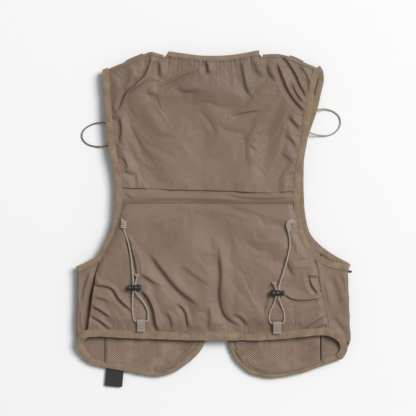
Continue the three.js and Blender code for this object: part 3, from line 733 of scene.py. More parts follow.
# Edges of the garment in plan, as it lies
edges = {
    "leftArm": [(-0.209, 0.281), (-0.206, 0.239), (-0.203, 0.190), (-0.198, 0.139), (-0.187, 0.089),
                (-0.184, 0.059), (-0.185, 0.021), (-0.188, -0.004), (-0.200, -0.037), (-0.218, -0.067),
                (-0.238, -0.080), (-0.258, -0.0895)],
    "rightArmBack": [(0.203, 0.281), (0.197, 0.265), (0.190, 0.236), (0.184, 0.200), (0.179, 0.165),
                     (0.172, 0.120), (0.165, 0.076), (0.164, 0.021), (0.171, -0.0245), (0.1845, -0.052),
                     (0.204, -0.071), (0.233, -0.082), (0.2565, -0.086)],
    "rightArmFront": [(0.2095, 0.279), (0.210, 0.262), (0.2045, 0.236), (0.1995, 0.215), (0.192, 0.189),
                      (0.183, 0.164), (0.178, 0.146), (0.172, 0.101), (0.172, 0.063), (0.174, 0.015),
                      (0.183, -0.0245), (0.200, -0.046), (0.222, -0.0635), (0.2565, -0.083)],
    "leftShoulder": [(-0.209, 0.278), (-0.186, 0.2885), (-0.163, 0.2975), (-0.140, 0.307), (-0.119, 0.3155),
                     (-0.108, 0.3135), (-0.094, 0.3095)],
    "rightShoulder": [(0.094, 0.3105), (0.110, 0.3115), (0.128, 0.3110), (0.150, 0.3045), (0.172, 0.2955),
                      (0.190, 0.2885), (0.207, 0.281)],
    "neck": [(-0.085, 0.3175), (-0.060, 0.3135), (-0.030, 0.3095), (0.0, 0.3083), (0.030, 0.3095),
             (0.060, 0.3140), (0.086, 0.3185)],
    "yokeHem": [(-0.180, 0.0595), (-0.120, 0.0580), (-0.060, 0.0565), (0.0, 0.0555), (0.050, 0.0530),
                (0.100, 0.0505), (0.130, 0.0512), (0.156, 0.0535)],
    "pouchMouth": [(-0.176, 0.0278), (-0.100, 0.0272), (0.0, 0.0268), (0.080, 0.0268), (0.156, 0.0278)],
    "pouchLeft": [(-0.214, -0.078), (-0.221, -0.113), (-0.228, -0.156), (-0.236, -0.206), (-0.238, -0.214)],
    "pouchRight": [(0.197, -0.078), (0.202, -0.118), (0.210, -0.156), (0.216, -0.181), (0.221, -0.214)],
    "hemBack": [(-0.2355, -0.2640), (-0.2420, -0.2570), (-0.2510, -0.2410), (-0.2500, -0.2270),
                (-0.2400, -0.2172), (-0.2220, -0.2145),
                (-0.2000, -0.2155), (-0.1500, -0.2180), (-0.1000, -0.2195), (-0.0500, -0.2215),
                (0.0, -0.2220),
                (0.0500, -0.2218), (0.0990, -0.2212), (0.1320, -0.2190), (0.1650, -0.2155), (0.1920, -0.2130),
                (0.2140, -0.2125), (0.2320, -0.2185), (0.2440, -0.2300), (0.2475, -0.2430),
                (0.2435, -0.2550), (0.2370, -0.2620)],
    "hemFrontLeft": [(-0.2565, -0.2250), (-0.2535, -0.2440), (-0.2430, -0.2660), (-0.2310, -0.2750),
                     (-0.2030, -0.2820),
                     (-0.1680, -0.2880), (-0.1320, -0.2955), (-0.1020, -0.2980), (-0.0770, -0.2920),
                     (-0.0520, -0.2765),
                     (-0.0270, -0.2540), (-0.0140, -0.2310), (-0.0070, -0.2080), (-0.0060, -0.1930)],
    "hemFrontRight": [(0.2600, -0.2250), (0.2570, -0.2400), (0.2490, -0.2540), (0.2400, -0.2660),
                      (0.2050, -0.2790),
                      (0.1670, -0.2920), (0.1265, -0.3000), (0.0990, -0.3000), (0.0710, -0.2920),
                      (0.0460, -0.2715),
                      (0.0320, -0.2460), (0.0280, -0.2290), (0.0270, -0.2080), (0.0270, -0.1930)],
    "sideLeft": [(-0.2580, -0.0920), (-0.2580, -0.1560), (-0.2600, -0.1930), (-0.2580, -0.2260),
                 (-0.2535, -0.2440),
                 (-0.2440, -0.2640)],
    "sideRight": [(0.2565, -0.0880), (0.2560, -0.1100), (0.2580, -0.1560), (0.2590, -0.1930),
                  (0.2600, -0.2290),
                  (0.2500, -0.2520), (0.2420, -0.2640)],
}
binding = {"width": 0.0125, "thickness": 0.0026, "under": 0.0055, "hemWidth": 0.0145, "frontWidth": 0.0115,
           "neckWidth": 0.0100, "step": 0.0025}
heights = {"yoke": 0.0215, "pouch": 0.0262, "front": 0.0083, "frontLining": 0.0101, "backLining": 0.0192,
           "backBinding": 0.0222, "frontBinding": 0.0092}
cloth = {"step": 0.0025, "thickness": 0.0007}


def edge(name, step=0.004, offset=0.0):
    line = smoothLine(edges[name], step)
    return beside(line, offset) if offset else line


def between(line, low, high, axis=1):
    return line[(line[:, axis] >= low) & (line[:, axis] <= high)]


def withHeight(line, z):
    line = np.asarray(line, float)
    return np.column_stack([line[:, :2], np.full(len(line), z) if np.isscalar(z) else z])


# Folds: the ridge stands to the left of the line and the valley runs on its right
def foldRise(xy, line, ridge, valley, width, fade=0.3):
    path = smoothLine(line, 0.004)
    away, along, total = nearLine(xy, path)
    along = along / total
    envelope = ease(along / fade) * ease((1 - along) / fade)
    crestWidth = np.where(away > 0.65 * width, 1.6 * width, 0.75 * width)
    dipWidth = np.where(away < -0.4 * width, 1.9 * width, 0.55 * width)
    crest = ridge * np.exp(-(((away - 0.65 * width) / crestWidth) ** 2))
    dip = valley * np.exp(-(((away + 0.4 * width) / dipWidth) ** 2))
    return (crest - dip) * envelope


def gathers(xy, line, height, pitch, reach, seed, centre=0.5):
    # puckers that run in from a sewn edge
    rng = np.random.default_rng(seed)
    away, along, _ = nearLine(xy, line)
    shift = sum(rng.uniform(0.5, 1.1) * np.sin(along / (pitch * rng.uniform(0.32, 1.1)) + rng.uniform(0, 6))
                for _ in range(4))
    wave = np.sin(2 * math.pi * along / pitch + 1.5 * shift) - centre
    patches = np.clip(0.5 + 0.7 * np.sin(along / (pitch * 1.9) + 1.3 * shift), 0.08, 1.1)
    length = reach * (1 + 0.5 * np.sin(along / (pitch * 0.9) + shift))
    return height * wave * patches * np.exp(-np.abs(away) / length)


def rolling(xy, size, height, seed, sharp=0.0):
    # broad, soft unevenness
    rng = np.random.default_rng(seed)
    total = np.zeros(len(xy))
    for _ in range(7):
        turn = rng.uniform(0, math.pi)
        run = xy @ (math.cos(turn), math.sin(turn))
        wave = np.sin(2 * math.pi * run / (size * rng.uniform(0.7, 1.7)) + rng.uniform(0, 6))
        total += (1 - sharp) * wave + sharp * (0.6 - np.abs(wave))
    return height * total / 3


def rounded(drop, reach, away):
    # the cloth turns down towards an edge
    return -drop * (1 - ease(np.abs(away) / reach)) ** 1.5


yokeFolds = [
    # shoulder creases
    ([(-0.117, 0.318), (-0.121, 0.292), (-0.130, 0.271), (-0.149, 0.251), (-0.162, 0.240)], 2.8, 3.2, 5.0,
     0.3),
    ([(-0.132, 0.268), (-0.149, 0.251), (-0.162, 0.240), (-0.169, 0.226), (-0.178, 0.203)], 3.6, 3.2, 2.8,
     0.3),
    ([(-0.124, 0.300), (-0.134, 0.276), (-0.156, 0.252), (-0.176, 0.226)], 2.4, 0.6, 11.0, 0.25),
    ([(-0.107, 0.304), (-0.102, 0.284), (-0.101, 0.262)], 2.4, 3.2, 6.5, 0.4),
    ([(-0.150, 0.283), (-0.160, 0.262), (-0.176, 0.243)], 1.0, 1.2, 8.0, 0.4),
    ([(0.118, 0.318), (0.133, 0.305), (0.152, 0.276), (0.166, 0.248), (0.178, 0.224)], 3.0, 3.2, 2.4, 0.2),
    ([(0.118, 0.300), (0.128, 0.272), (0.141, 0.243), (0.157, 0.219), (0.177, 0.199)], 3.2, 3.6, 3.0, 0.2),
    ([(0.146, 0.262), (0.156, 0.240), (0.172, 0.214)], 2.0, 2.6, 2.6, 0.3),
    ([(0.160, 0.296), (0.176, 0.268), (0.186, 0.240)], 1.4, 1.4, 5.0, 0.3),
    # under the neck
    ([(-0.098, 0.247), (-0.064, 0.266), (-0.026, 0.284)], 1.5, 2.0, 2.6, 0.3),
    ([(-0.072, 0.247), (-0.047, 0.240), (-0.022, 0.247)], 0.8, 2.0, 6.0, 0.4),
    ([(-0.014, 0.300), (-0.011, 0.286), (-0.010, 0.272)], 3.0, 3.2, 4.0, 0.35),
    ([(0.049, 0.306), (0.055, 0.276), (0.063, 0.244), (0.080, 0.228)], 1.6, 2.0, 7.0, 0.3),
    ([(0.072, 0.306), (0.083, 0.280), (0.094, 0.262)], 1.4, 1.4, 7.0, 0.4),
    ([(0.100, 0.300), (0.106, 0.276), (0.118, 0.256)], 1.4, 1.6, 6.0, 0.4),
    ([(-0.127, 0.238), (-0.114, 0.2345), (-0.101, 0.237)], 1.4, 1.6, 7.0, 0.4),
    # the middle of the back
    ([(0.034, 0.194), (0.062, 0.201), (0.094, 0.206)], 1.3, 1.5, 3.2, 0.35),
    ([(0.052, 0.176), (0.062, 0.150), (0.064, 0.118), (0.070, 0.086)], 1.0, 1.3, 12.0, 0.35),
    ([(0.066, 0.142), (0.074, 0.135), (0.084, 0.132)], 0.9, 1.0, 3.5, 0.4),
    ([(-0.100, 0.222), (-0.040, 0.230), (0.020, 0.216), (0.060, 0.222)], 0.6, 0.7, 14.0, 0.3),
    ([(0.000, 0.186), (0.028, 0.170), (0.078, 0.166)], 0.5, 0.6, 12.0, 0.35),
    ([(-0.030, 0.214), (-0.004, 0.186), (0.010, 0.150)], 0.7, 1.2, 15.0, 0.35),
    ([(-0.125, 0.150), (-0.085, 0.158), (-0.050, 0.144)], 0.5, 0.6, 12.0, 0.4),
    ([(-0.150, 0.110), (-0.120, 0.096), (-0.080, 0.100)], 0.4, 0.5, 12.0, 0.4),
    # beside the armholes
    ([(-0.178, 0.196), (-0.174, 0.170), (-0.178, 0.140)], 1.8, 2.2, 5.0, 0.3),
    ([(-0.172, 0.122), (-0.164, 0.104), (-0.170, 0.088)], 1.4, 1.4, 5.0, 0.35),
    ([(-0.170, 0.092), (-0.156, 0.086), (-0.142, 0.088)], 0.9, 1.1, 5.0, 0.35),
    ([(0.138, 0.196), (0.152, 0.182), (0.166, 0.166)], 1.6, 1.8, 5.0, 0.35),
    ([(0.132, 0.160), (0.146, 0.150), (0.160, 0.132)], 1.1, 1.3, 5.0, 0.35),
    ([(0.126, 0.128), (0.140, 0.116), (0.154, 0.104)], 0.9, 1.1, 6.0, 0.35),
]
pouchFolds = [
    # slack across the middle
    ([(-0.124, -0.060), (-0.094, -0.100), (-0.064, -0.136), (-0.022, -0.168)], 1.8, 2.8, 7.0, 0.25),
    ([(-0.070, -0.082), (-0.038, -0.106), (-0.002, -0.131)], 0.9, 1.2, 9.0, 0.35),
    ([(0.010, -0.056), (0.014, -0.104), (0.013, -0.150), (0.024, -0.184), (0.056, -0.206)], 2.0, 2.4, 7.0,
     0.2),
    ([(0.034, -0.178), (0.052, -0.186), (0.066, -0.204)], 1.6, 2.0, 6.0, 0.35),
    ([(-0.012, -0.160), (-0.008, -0.184), (-0.010, -0.212)], 2.0, 1.0, 8.0, 0.35),
    ([(-0.070, -0.158), (-0.053, -0.176), (-0.047, -0.210)], 1.6, 2.4, 3.2, 0.25),
    ([(-0.092, -0.172), (-0.080, -0.192), (-0.078, -0.212)], 1.4, 1.6, 5.0, 0.35),
    # where the cords draw it in
    ([(-0.139, -0.134), (-0.124, -0.148), (-0.114, -0.171), (-0.109, -0.198), (-0.103, -0.216)], 4.0, 3.8,
     3.8, 0.2),
    ([(-0.162, -0.030), (-0.152, -0.060), (-0.145, -0.090), (-0.141, -0.118)], 3.0, 3.6, 3.6, 0.3),
    ([(0.119, -0.118), (0.108, -0.140), (0.100, -0.165), (0.098, -0.190)], 0.6, 1.8, 5.0, 0.35),
    ([(-0.140, -0.100), (-0.116, -0.118), (-0.096, -0.128)], 1.6, 1.8, 5.5, 0.35),
    # beside the open left edge
    ([(-0.226, -0.126), (-0.206, -0.126), (-0.188, -0.133), (-0.178, -0.150), (-0.164, -0.164),
      (-0.150, -0.177)], 2.8, 3.2, 2.5, 0.14),
    ([(-0.232, -0.162), (-0.214, -0.172), (-0.192, -0.187)], 2.2, 2.6, 3.0, 0.3),
    ([(-0.236, -0.182), (-0.218, -0.190), (-0.192, -0.210)], 2.2, 2.6, 2.8, 0.3),
    ([(-0.226, -0.146), (-0.206, -0.152), (-0.192, -0.160)], 1.2, 1.2, 4.0, 0.35),
    # beside the right seam
    ([(0.130, -0.138), (0.146, -0.150), (0.172, -0.1535), (0.209, -0.148)], 1.8, 3.0, 2.2, 0.25),
    ([(0.165, -0.212), (0.188, -0.196), (0.216, -0.180)], 1.8, 2.2, 4.0, 0.3),
    ([(0.176, -0.214), (0.196, -0.204), (0.219, -0.196)], 1.2, 1.4, 3.5, 0.3),
    ([(0.182, -0.100), (0.184, -0.122), (0.200, -0.146)], 1.6, 2.6, 2.6, 0.3),
    ([(0.176, -0.112), (0.188, -0.108), (0.198, -0.112)], 1.6, 1.8, 3.5, 0.35),
    ([(0.132, -0.062), (0.146, -0.096), (0.158, -0.110)], 1.2, 1.4, 8.0, 0.35),
    ([(0.048, -0.036), (0.092, -0.052), (0.128, -0.048)], 0.8, 1.0, 14.0, 0.35),
]


def withFolds(xy, folds, strength=1.0):
    mm = 0.001 * strength
    return sum(foldRise(xy, line, ridge * mm, valley * mm, width * 0.001, fade)
               for line, ridge, valley, width, fade in folds)


def pressed(xy):
    # the highest the cloth may stand beside each cord and lock
    top = np.full(len(xy), 1.0)
    for cord in drawcords.values():
        for points in (cord["upper"], cord["loop"]):
            line = smoothLine(points, 0.003)
            gap = np.linalg.norm(xy[:, None, :] - line[None, :, :2], axis=2)
            near = gap.argmin(axis=1)
            away = gap[np.arange(len(xy)), near]
            top = np.minimum(top, line[near, 2] - 0.0016 + np.maximum(0, away - 0.0020) * 0.9)
        for travel in np.linspace(-0.037, 0.057, 20):
            x, y = np.array(cord["lock"][:2]) + travel * np.array(cord["slide"])
            away = np.hypot(np.maximum(0, np.abs(xy[:, 0] - x) - 0.0135),
                            np.maximum(0, np.abs(xy[:, 1] - y) - 0.0030))
            top = np.minimum(top, cord["lock"][2] - 0.0062 + away * 0.9)
            x, y = np.array(cord["knot"][:2]) + travel * np.array(cord["slide"])
            away = np.maximum(0, np.hypot(xy[:, 0] - x, xy[:, 1] - y) - 0.0036)
            top = np.minimum(top, cord["knot"][2] - 0.0030 + away * 0.9)
        x, y, z = cord["tab"]
        away = np.hypot(np.maximum(0, np.abs(xy[:, 0] - x) - 0.009),
                        np.maximum(0, np.abs(xy[:, 1] - y + 0.010) - 0.012))
        top = np.minimum(top, z - 0.0050 + away * 0.9)
    return top


simulation = {"quality": 6, "mass": 0.12, "tension_stiffness": 12, "compression_stiffness": 12,
              "shear_stiffness": 6, "bending_stiffness": 0.25, "air_damping": 2}
settling = {"frames": 14, "cap": 0.0025, "lowest": heights["backLining"] + 0.0008}


def settle(piece, held, spare):
    # a little spare cloth between its seams, let find its own creases
    before = places(piece)
    group = piece.vertex_groups.new(name="held")
    group.add([int(i) for i in held], 1, "REPLACE")
    modifier = piece.modifiers.new("cloth", "CLOTH")
    settings = modifier.settings
    for name, value in simulation.items():
        setattr(settings, name, value)
    settings.vertex_group_mass = "held"
    settings.shrink_min = -spare
    settings.effector_weights.gravity = 0
    modifier.collision_settings.use_collision = False
    modifier.point_cache.frame_start = 1
    modifier.point_cache.frame_end = settling["frames"]
    for number in range(1, settling["frames"] + 1):
        scene.frame_set(number)
    applyModifiers(piece)
    scene.frame_set(1)
    moved = places(piece) - before
    size = np.linalg.norm(moved, axis=1)[:, None]
    after = before + moved * np.minimum(1, settling["cap"] / np.maximum(size, 1e-9))
    after[:, 2] = np.maximum(after[:, 2], settling["lowest"])
    setPlaces(piece, after)
    piece.vertex_groups.clear()


def cutArea(outline):
    # the area inside a cut piece's outline, while it is still flat
    x, y = outline[:, 0], outline[:, 1]
    return 0.5 * abs(float(np.dot(x, np.roll(y, -1)) - np.dot(y, np.roll(x, -1))))


def panel(name, outline, height, finish, stands, spare=0.0, free=(), rollers=(), smooth=1):
    # one cut piece of cloth laid at a height given over its plan; rollers carry it round a shoulder
    flat, faces, rim = flatCloth(outline, cloth["step"])
    piece = newPiece(name, np.column_stack([flat, height(flat)]), faces,
                     np.column_stack([flat, np.zeros(len(flat))]))
    if spare:
        pinned = [i for i in range(rim) if not any(low <= flat[i, 0] <= high and bottom <= flat[i, 1] <= top
                                                   for low, high, bottom, top in free)]
        settle(piece, pinned, spare)
        co = places(piece)
        co[:, 2] = np.minimum(co[:, 2], pressed(co[:, :2]))
        setPlaces(piece, co)
    size = outline.max(0) - outline.min(0)
    thicken(piece, cloth["thickness"], smooth)
    place(piece, finish, "vest", stands)
    for label, line in rollers:
        rollUnder(f"{name}_{label}", line, height, finish)
    min(cutArea(outline), float(size[0] * size[1]))
    return piece


rollRadius = 0.0062


def rollUnder(name, line, height, finish, radius=rollRadius, back=0.045):
    # the cloth goes on round the shoulder and back along the front
    outward = beside(line, 1.0) - line
    top = height(line[:, :2])
    rows, lays = [], []
    for turn in np.linspace(0, math.pi, 9):
        drop = (top - heights["front"]) * (1 - math.cos(turn)) / 2
        rows.append(np.column_stack([line[:, :2] + outward[:, :2] * radius * math.sin(turn), top - drop]))
        lays.append(radius * turn)
    for share in (0.15, 0.4, 0.7, 1.0):
        rows.append(np.column_stack([line[:, :2] - outward[:, :2] * back * share,
                                     np.full(len(line), heights["front"])]))
        lays.append(radius * math.pi + back * share)
    count = len(line)
    vertices = np.vstack(rows)
    run = runAlong(line[:, :2])
    lay = np.vstack([np.column_stack([run, np.full(count, v), np.zeros(count)]) for v in lays])
    piece = newPiece(name, vertices, [face[::-1] for face in gridFaces(len(rows), count)], lay)
    thicken(piece, cloth["thickness"], 1)
    return place(piece, finish)


# Back: yoke, mouth facing, pouch and lining
leftInner = edge("leftArm", offset=binding["under"])
rightInner = edge("rightArmBack", offset=-binding["under"])
leftShoulder = edge("leftShoulder", offset=-rollRadius)
rightShoulder = edge("rightShoulder", offset=-rollRadius)
neckInner = edge("neck", offset=-0.0082)


def nearest(xy, first, second):
    return np.minimum(np.abs(nearLine(xy, first)[0]), np.abs(nearLine(xy, second)[0]))


def yokeHemAt(xy):
    return np.interp(xy[:, 0], *np.transpose(edges["yokeHem"]))


def yokeHeight(xy):
    arms = nearest(xy, leftInner, rightInner)
    shoulders = nearest(xy, leftShoulder, rightShoulder)
    neck = nearLine(xy, neckInner)[0]
    hem = xy[:, 1] - yokeHemAt(xy)
    z = heights["yoke"] + 0.0018 + rolling(xy, 0.110, 0.0008, 3) + rolling(xy, 0.045, 0.00022, 8, 0.5)
    z += rounded(0.0018, 0.03, arms) + rounded(0.0016, 0.022, shoulders)
    z += withFolds(xy, yokeFolds, 1.45) * ease(hem / 0.03) + 0.0012 * ease(1 - hem / 0.03)
    z += gathers(xy, neckInner, 0.0020, 0.0070, 0.009, 5) * ease((0.098 - np.abs(xy[:, 0])) / 0.01)
    z += gathers(xy, rightInner, 0.0008, 0.009, 0.007, 6) * ease((0.25 - xy[:, 1]) / 0.03)
    z += gathers(xy, leftInner, 0.0007, 0.010, 0.007, 7) * ease((0.21 - xy[:, 1]) / 0.03)
    return np.maximum(z, heights["backLining"] + 0.0009)


yokeOutline = np.vstack([
    edge("yokeHem"),
    between(rightInner, 0.056, 0.272)[::-1],
    rightShoulder[::-1],
    neckInner[::-1],
    leftShoulder[::-1],
    between(leftInner, 0.062, 0.270),
])
panel("backYoke", yokeOutline, yokeHeight, "shell", "back_yoke", spare=0.012,
      free=[(-0.165, 0.14, 0.0, 0.07)],
      rollers=[("leftShoulder", leftShoulder), ("rightShoulder", rightShoulder)])
print("yoke made")


def facingHeight(xy):
    top = yokeHemAt(xy)
    share = np.clip((xy[:, 1] - 0.026) / (top - 0.026), 0, 1.3)
    z = 0.0202 + 0.0036 * ease((share + 0.05) / 0.5) - 0.0026 * ease((share - 0.6) / 0.35)
    z += rolling(xy, 0.09, 0.0003, 21)
    z += withFolds(xy, [
        ([(0.010, 0.049), (0.060, 0.0405), (0.110, 0.0385), (0.152, 0.0415)], 1.2, 1.2, 3.5, 0.2),
        ([(-0.150, 0.036), (-0.080, 0.0375), (-0.020, 0.0360), (0.060, 0.0345)], 0.7, 0.8, 4.0, 0.25),
        ([(-0.168, 0.052), (-0.160, 0.044), (-0.150, 0.038)], 1.0, 1.0, 3.0, 0.3),
    ])
    return np.maximum(z, heights["backLining"] + 0.0009)


facingOutline = np.vstack([
    smoothLine([(-0.178, 0.012), (-0.090, 0.012), (0.0, 0.012), (0.159, 0.012)], 0.01),
    between(rightInner, 0.014, 0.062)[::-1],
    beside(edge("yokeHem"), 0.008)[::-1],
    between(leftInner, 0.014, 0.066),
])
panel("mouthFacing", facingOutline, facingHeight, "shell", "pouch_mouth_facing")


def pouchHeight(xy):
    mouth = 0.0272 - xy[:, 1]
    low = xy[:, 1] + 0.214
    left = nearLine(xy, edge("pouchLeft"))[0]
    right = nearLine(xy, edge("pouchRight"))[0]
    arms = nearest(xy, leftInner, rightInner)
    z = heights["pouch"] + rolling(xy, 0.120, 0.0007, 13) + rolling(xy, 0.045, 0.0002, 18, 0.5)
    z += rounded(0.0026, 0.035, mouth) + rounded(0.0032, 0.030, low) + rounded(0.0034, 0.022, arms)
    z += rounded(0.0006, 0.012, left) + rounded(0.0034, 0.014, right)
    z += withFolds(xy, pouchFolds, 1.5) * ease(mouth / 0.02)
    z += gathers(xy, edge("hemBack")[14:-14], 0.0013, 0.0075, 0.006, 15)
    z += gathers(xy, edge("pouchRight"), 0.0013, 0.0100, 0.008, 16)
    return np.maximum(z, heights["backLining"] + 0.0016)


pouchOutline = np.vstack([
    edge("pouchLeft"),
    smoothLine([(-0.236, -0.2165), (-0.100, -0.2190), (0.0, -0.2210), (0.100, -0.2205), (0.219, -0.2150)],
               0.006),
    edge("pouchRight")[::-1],
    between(rightInner, -0.076, 0.026)[::-1],
    edge("pouchMouth")[::-1],
    between(leftInner, -0.070, 0.026),
])
panel("rearPouch", pouchOutline, pouchHeight, "shell", "rear_pouch_panel", spare=0.012,
      free=[(-0.165, 0.145, 0.02, 0.04), (-0.24, -0.21, -0.19, -0.085)])
print("pouch made")


# Side panels: each goes round the side from the back to the front
sideSheets = {
    "left": {"sign": -1, "silhouette": "sideLeft", "innerTop": (-0.211, -0.074), "innerLow": (-0.226, -0.214),
             "topSide": -0.093, "lowSide": -0.232, "backZ": (0.0200, 0.0218), "dip": 0.0095,
             "folds": [([(-0.232, -0.096), (-0.242, -0.126), (-0.249, -0.160)], 2.6, 2.6, 5.0, 0.25),
                       ([(-0.222, -0.120), (-0.231, -0.165), (-0.240, -0.205)], 2.0, 3.4, 6.0, 0.3),
                       ([(-0.250, -0.170), (-0.251, -0.195), (-0.246, -0.215)], 1.4, 1.6, 4.0, 0.3)]},
    "right": {"sign": 1, "silhouette": "sideRight", "innerTop": (0.192, -0.072), "innerLow": (0.214, -0.214),
              "topSide": -0.089, "lowSide": -0.232, "backZ": (0.0222, 0.0222), "dip": 0.0,
              "folds": [([(0.222, -0.102), (0.236, -0.134), (0.243, -0.168)], 1.8, 2.0, 8.0, 0.3),
                        ([(0.206, -0.110), (0.213, -0.140), (0.219, -0.170)], 1.6, 0.5, 4.0, 0.3),
                        ([(0.238, -0.100), (0.248, -0.122), (0.252, -0.150)], 1.4, 1.2, 6.0, 0.3),
                        ([(0.226, -0.180), (0.240, -0.200), (0.250, -0.214)], 1.2, 1.4, 6.0, 0.3)]},
}


def sidePanel(side, values):
    sign = values["sign"]
    outer = edge(values["silhouette"], 0.003)
    arm = between(edge("leftArm" if sign < 0 else "rightArmFront"), -0.2, -0.03)
    radius = 0.0058
    middle = (heights["front"] + values["backZ"][1]) / 2
    columns = np.concatenate([np.linspace(0, 0.42, 16), np.linspace(0.45, 0.57, 9), np.linspace(0.6, 1, 16)])
    rows = np.linspace(0, 1, 56)
    vertices, lay = [], []
    for v in rows:
        for u in columns:
            if u <= 0.42:
                share = u / 0.42
                top = values["innerTop"][1] + share * (values["topSide"] - values["innerTop"][1])
                low = values["innerLow"][1] + share**3 * (values["lowSide"] - values["innerLow"][1])
            elif u < 0.6:
                share = 1.0
                top, low = values["topSide"], values["lowSide"] - (u - 0.42) * 0.06
            else:
                share = 1 - (u - 0.6) / 0.4
                top = np.interp(0.204 + 0.047 * share, sign * arm[:, 0], arm[:, 1]) - 0.004
                low = np.interp((1 - share) * 0.049, [0, 0.012, 0.03, 0.05], [-0.243, -0.264, -0.271, -0.276])
            y = top + v * (low - top)
            edgeX = sign * np.interp(-y, -outer[:, 1], sign * outer[:, 0])
            turnX = edgeX - sign * radius
            if u <= 0.42:
                innerX = values["innerTop"][0] + v * (values["innerLow"][0] - values["innerTop"][0])
                x = innerX + share * (turnX - innerX)
                z = values["backZ"][0] + share * (values["backZ"][1] - values["backZ"][0])
                z -= values["dip"] * (1 - ease((share - 0.5 * v) / 0.35)) * ease((v - 0.08) / 0.35)
            elif u < 0.6:
                turn = math.pi * (u - 0.42) / 0.18
                x = turnX + sign * radius * math.sin(turn)
                z = middle + (values["backZ"][1] - middle) * math.cos(turn)
            else:
                x = turnX + (1 - share) * (sign * 0.204 - turnX)
                z = heights["front"]
            z -= 0.004 * ease((v - 0.75) / 0.25) * ease((u - 0.2) / 0.2) if u < 0.5 else 0
            vertices.append((x, y, z))
            lay.append((u * 0.12, y, 0))
    vertices = np.array(vertices)
    across = np.tile(columns, len(rows))
    lifted = withFolds(vertices[:, :2], values["folds"]) + rolling(vertices[:, :2], 0.05, 0.0003, 31)
    lifted += gathers(vertices[:, :2], edge("leftArm" if sign < 0 else "rightArmBack"), 0.0007, 0.012, 0.010,
                      32)
    vertices[:, 2] += lifted * ease((0.46 - across) / 0.05)
    vertices[:, 2] += (0.0014 if sign > 0 else 0) * np.exp(-(((across - 0.035) / 0.03) ** 2))
    swell = 0.0009 * np.sin(vertices[:, 1] / 0.011 + 1) * np.exp(-(((across - 0.51) / 0.06) ** 2))
    vertices[:, 0] -= sign * np.abs(swell)
    faces = [face[::-sign] for face in gridFaces(len(rows), len(columns))]
    piece = newPiece(f"sidePanel_{side}", vertices, faces, lay)
    thicken(piece, cloth["thickness"], 1)
    place(piece, "shell", "vest", f"side_panel_{side}")


for side, values in sideSheets.items():
    sidePanel(side, values)
seam = beside(between(edge("pouchRight", 0.0012), -0.209, -0.084), -0.0005)
place(stitchPiece("sideSeamStitch",
                  [withHeight(seam, np.maximum(pouchHeight(seam[:, :2]), 0.0232) + 0.0003)], 0.0026, 0.0021,
                  0.00035), "darkThread")
print("sides made")

# Fronts: each outline from the side seam round the hem, up the edge, round the neck and down the armhole
fronts = {
    "left": {"sign": -1, "hem": "hemFrontLeft", "seamX": -0.2025, "edgeX": -0.0115,
             "neck": [(-0.0115, 0.190), (-0.018, 0.212), (-0.044, 0.232), (-0.066, 0.254), (-0.082, 0.272)],
             "shoulder": [(-0.106, 0.262), (-0.193, 0.236)],
             "arm": [(-0.193, 0.234), (-0.189, 0.190), (-0.183, 0.140), (-0.173, 0.092), (-0.170, 0.050),
                     (-0.172, 0.010), (-0.180, -0.026), (-0.2025, -0.050)]},
    "right": {"sign": 1, "hem": "hemFrontRight", "seamX": 0.2025, "edgeX": 0.0325,
              "neck": [(0.0325, 0.190), (0.039, 0.212), (0.058, 0.234), (0.072, 0.254), (0.084, 0.274)],
              "shoulder": [(0.108, 0.264), (0.190, 0.238)],
              "arm": [(0.192, 0.234), (0.184, 0.190), (0.172, 0.150), (0.162, 0.100), (0.160, 0.050),
                      (0.163, 0.010), (0.176, -0.024), (0.2025, -0.050)]},
}


def frontShape(values, inset=0.0058):
    sign = values["sign"]
    hem = edge(values["hem"], offset=-sign * inset)
    hem = hem[(sign * hem[:, 0] < sign * values["seamX"]) & (hem[:, 1] < -0.196)]
    arm = smoothLine(values["arm"], 0.004)
    neck = smoothLine(values["neck"], 0.004)
    return np.vstack([[(values["seamX"], hem[0, 1])], hem, [(values["edgeX"], -0.19)], neck,
                      values["shoulder"], arm])


for side, values in fronts.items():
    outline = frontShape(values)
    sign = values["sign"]
    seed = 41 if sign < 0 else 44

    def frontHeight(xy):
        return heights["front"] + rolling(xy, 0.12, 0.0002, seed)

    def netHeight(xy):
        hem = nearLine(xy, edge(values["hem"]))[0]
        z = heights["frontLining"] + 0.0014 + rolling(xy, 0.07, 0.0011, seed + 1)
        z += rolling(xy, 0.022, 0.0002, seed + 2)
        return z + rounded(0.0008, 0.016, hem)

    panel(f"frontPanel_{side}", outline, frontHeight, "shell", f"front_panel_{side}", smooth=0)
    panel(f"frontNet_{side}", frontShape(values, 0.0075), netHeight, "net", f"front_mesh_lining_{side}",
          smooth=0)
    # the seam between side and front, with its two rows of stitching
    seamX = -0.2005 if sign < 0 else 0.2075
    lowY = -0.2735
    top = -0.214
    seam = np.column_stack([np.linspace(seamX, seamX + 0.0008 * sign, 20), np.linspace(top, lowY, 20),
                            np.full(20, heights["frontLining"] + 0.0016)])
    place(tapePiece(f"frontSeam_{side}", seam, 0.0060, 0.0011, wavy=0.2, seed=seed), "shell")
    rows = [beside(seam, shift)[1:-1] + (0, 0, 0.0008) for shift in (-0.0017, 0.0017)]
    place(stitchPiece(f"frontSeamStitch_{side}", rows), "darkThread")

backLiningOutline = np.vstack([
    smoothLine([(-0.205, -0.214), (-0.1, -0.216), (0.1, -0.216), (0.200, -0.214)], 0.01),
    between(edge("rightArmBack", offset=-0.008), -0.07, 0.262)[::-1],
    [(0.190, 0.270), (0.106, 0.296), (0.084, 0.304), (0.0, 0.296), (-0.084, 0.304), (-0.106, 0.296),
     (-0.192, 0.268)],
    between(edge("leftArm", offset=0.008), -0.062, 0.262),
])
panel("backNet", backLiningOutline,
      lambda xy: heights["backLining"] + rolling(xy, 0.09, 0.0002, 51) - 0.0004, "net",
      "back_mesh_lining", smooth=0)
print("fronts and back lining made")


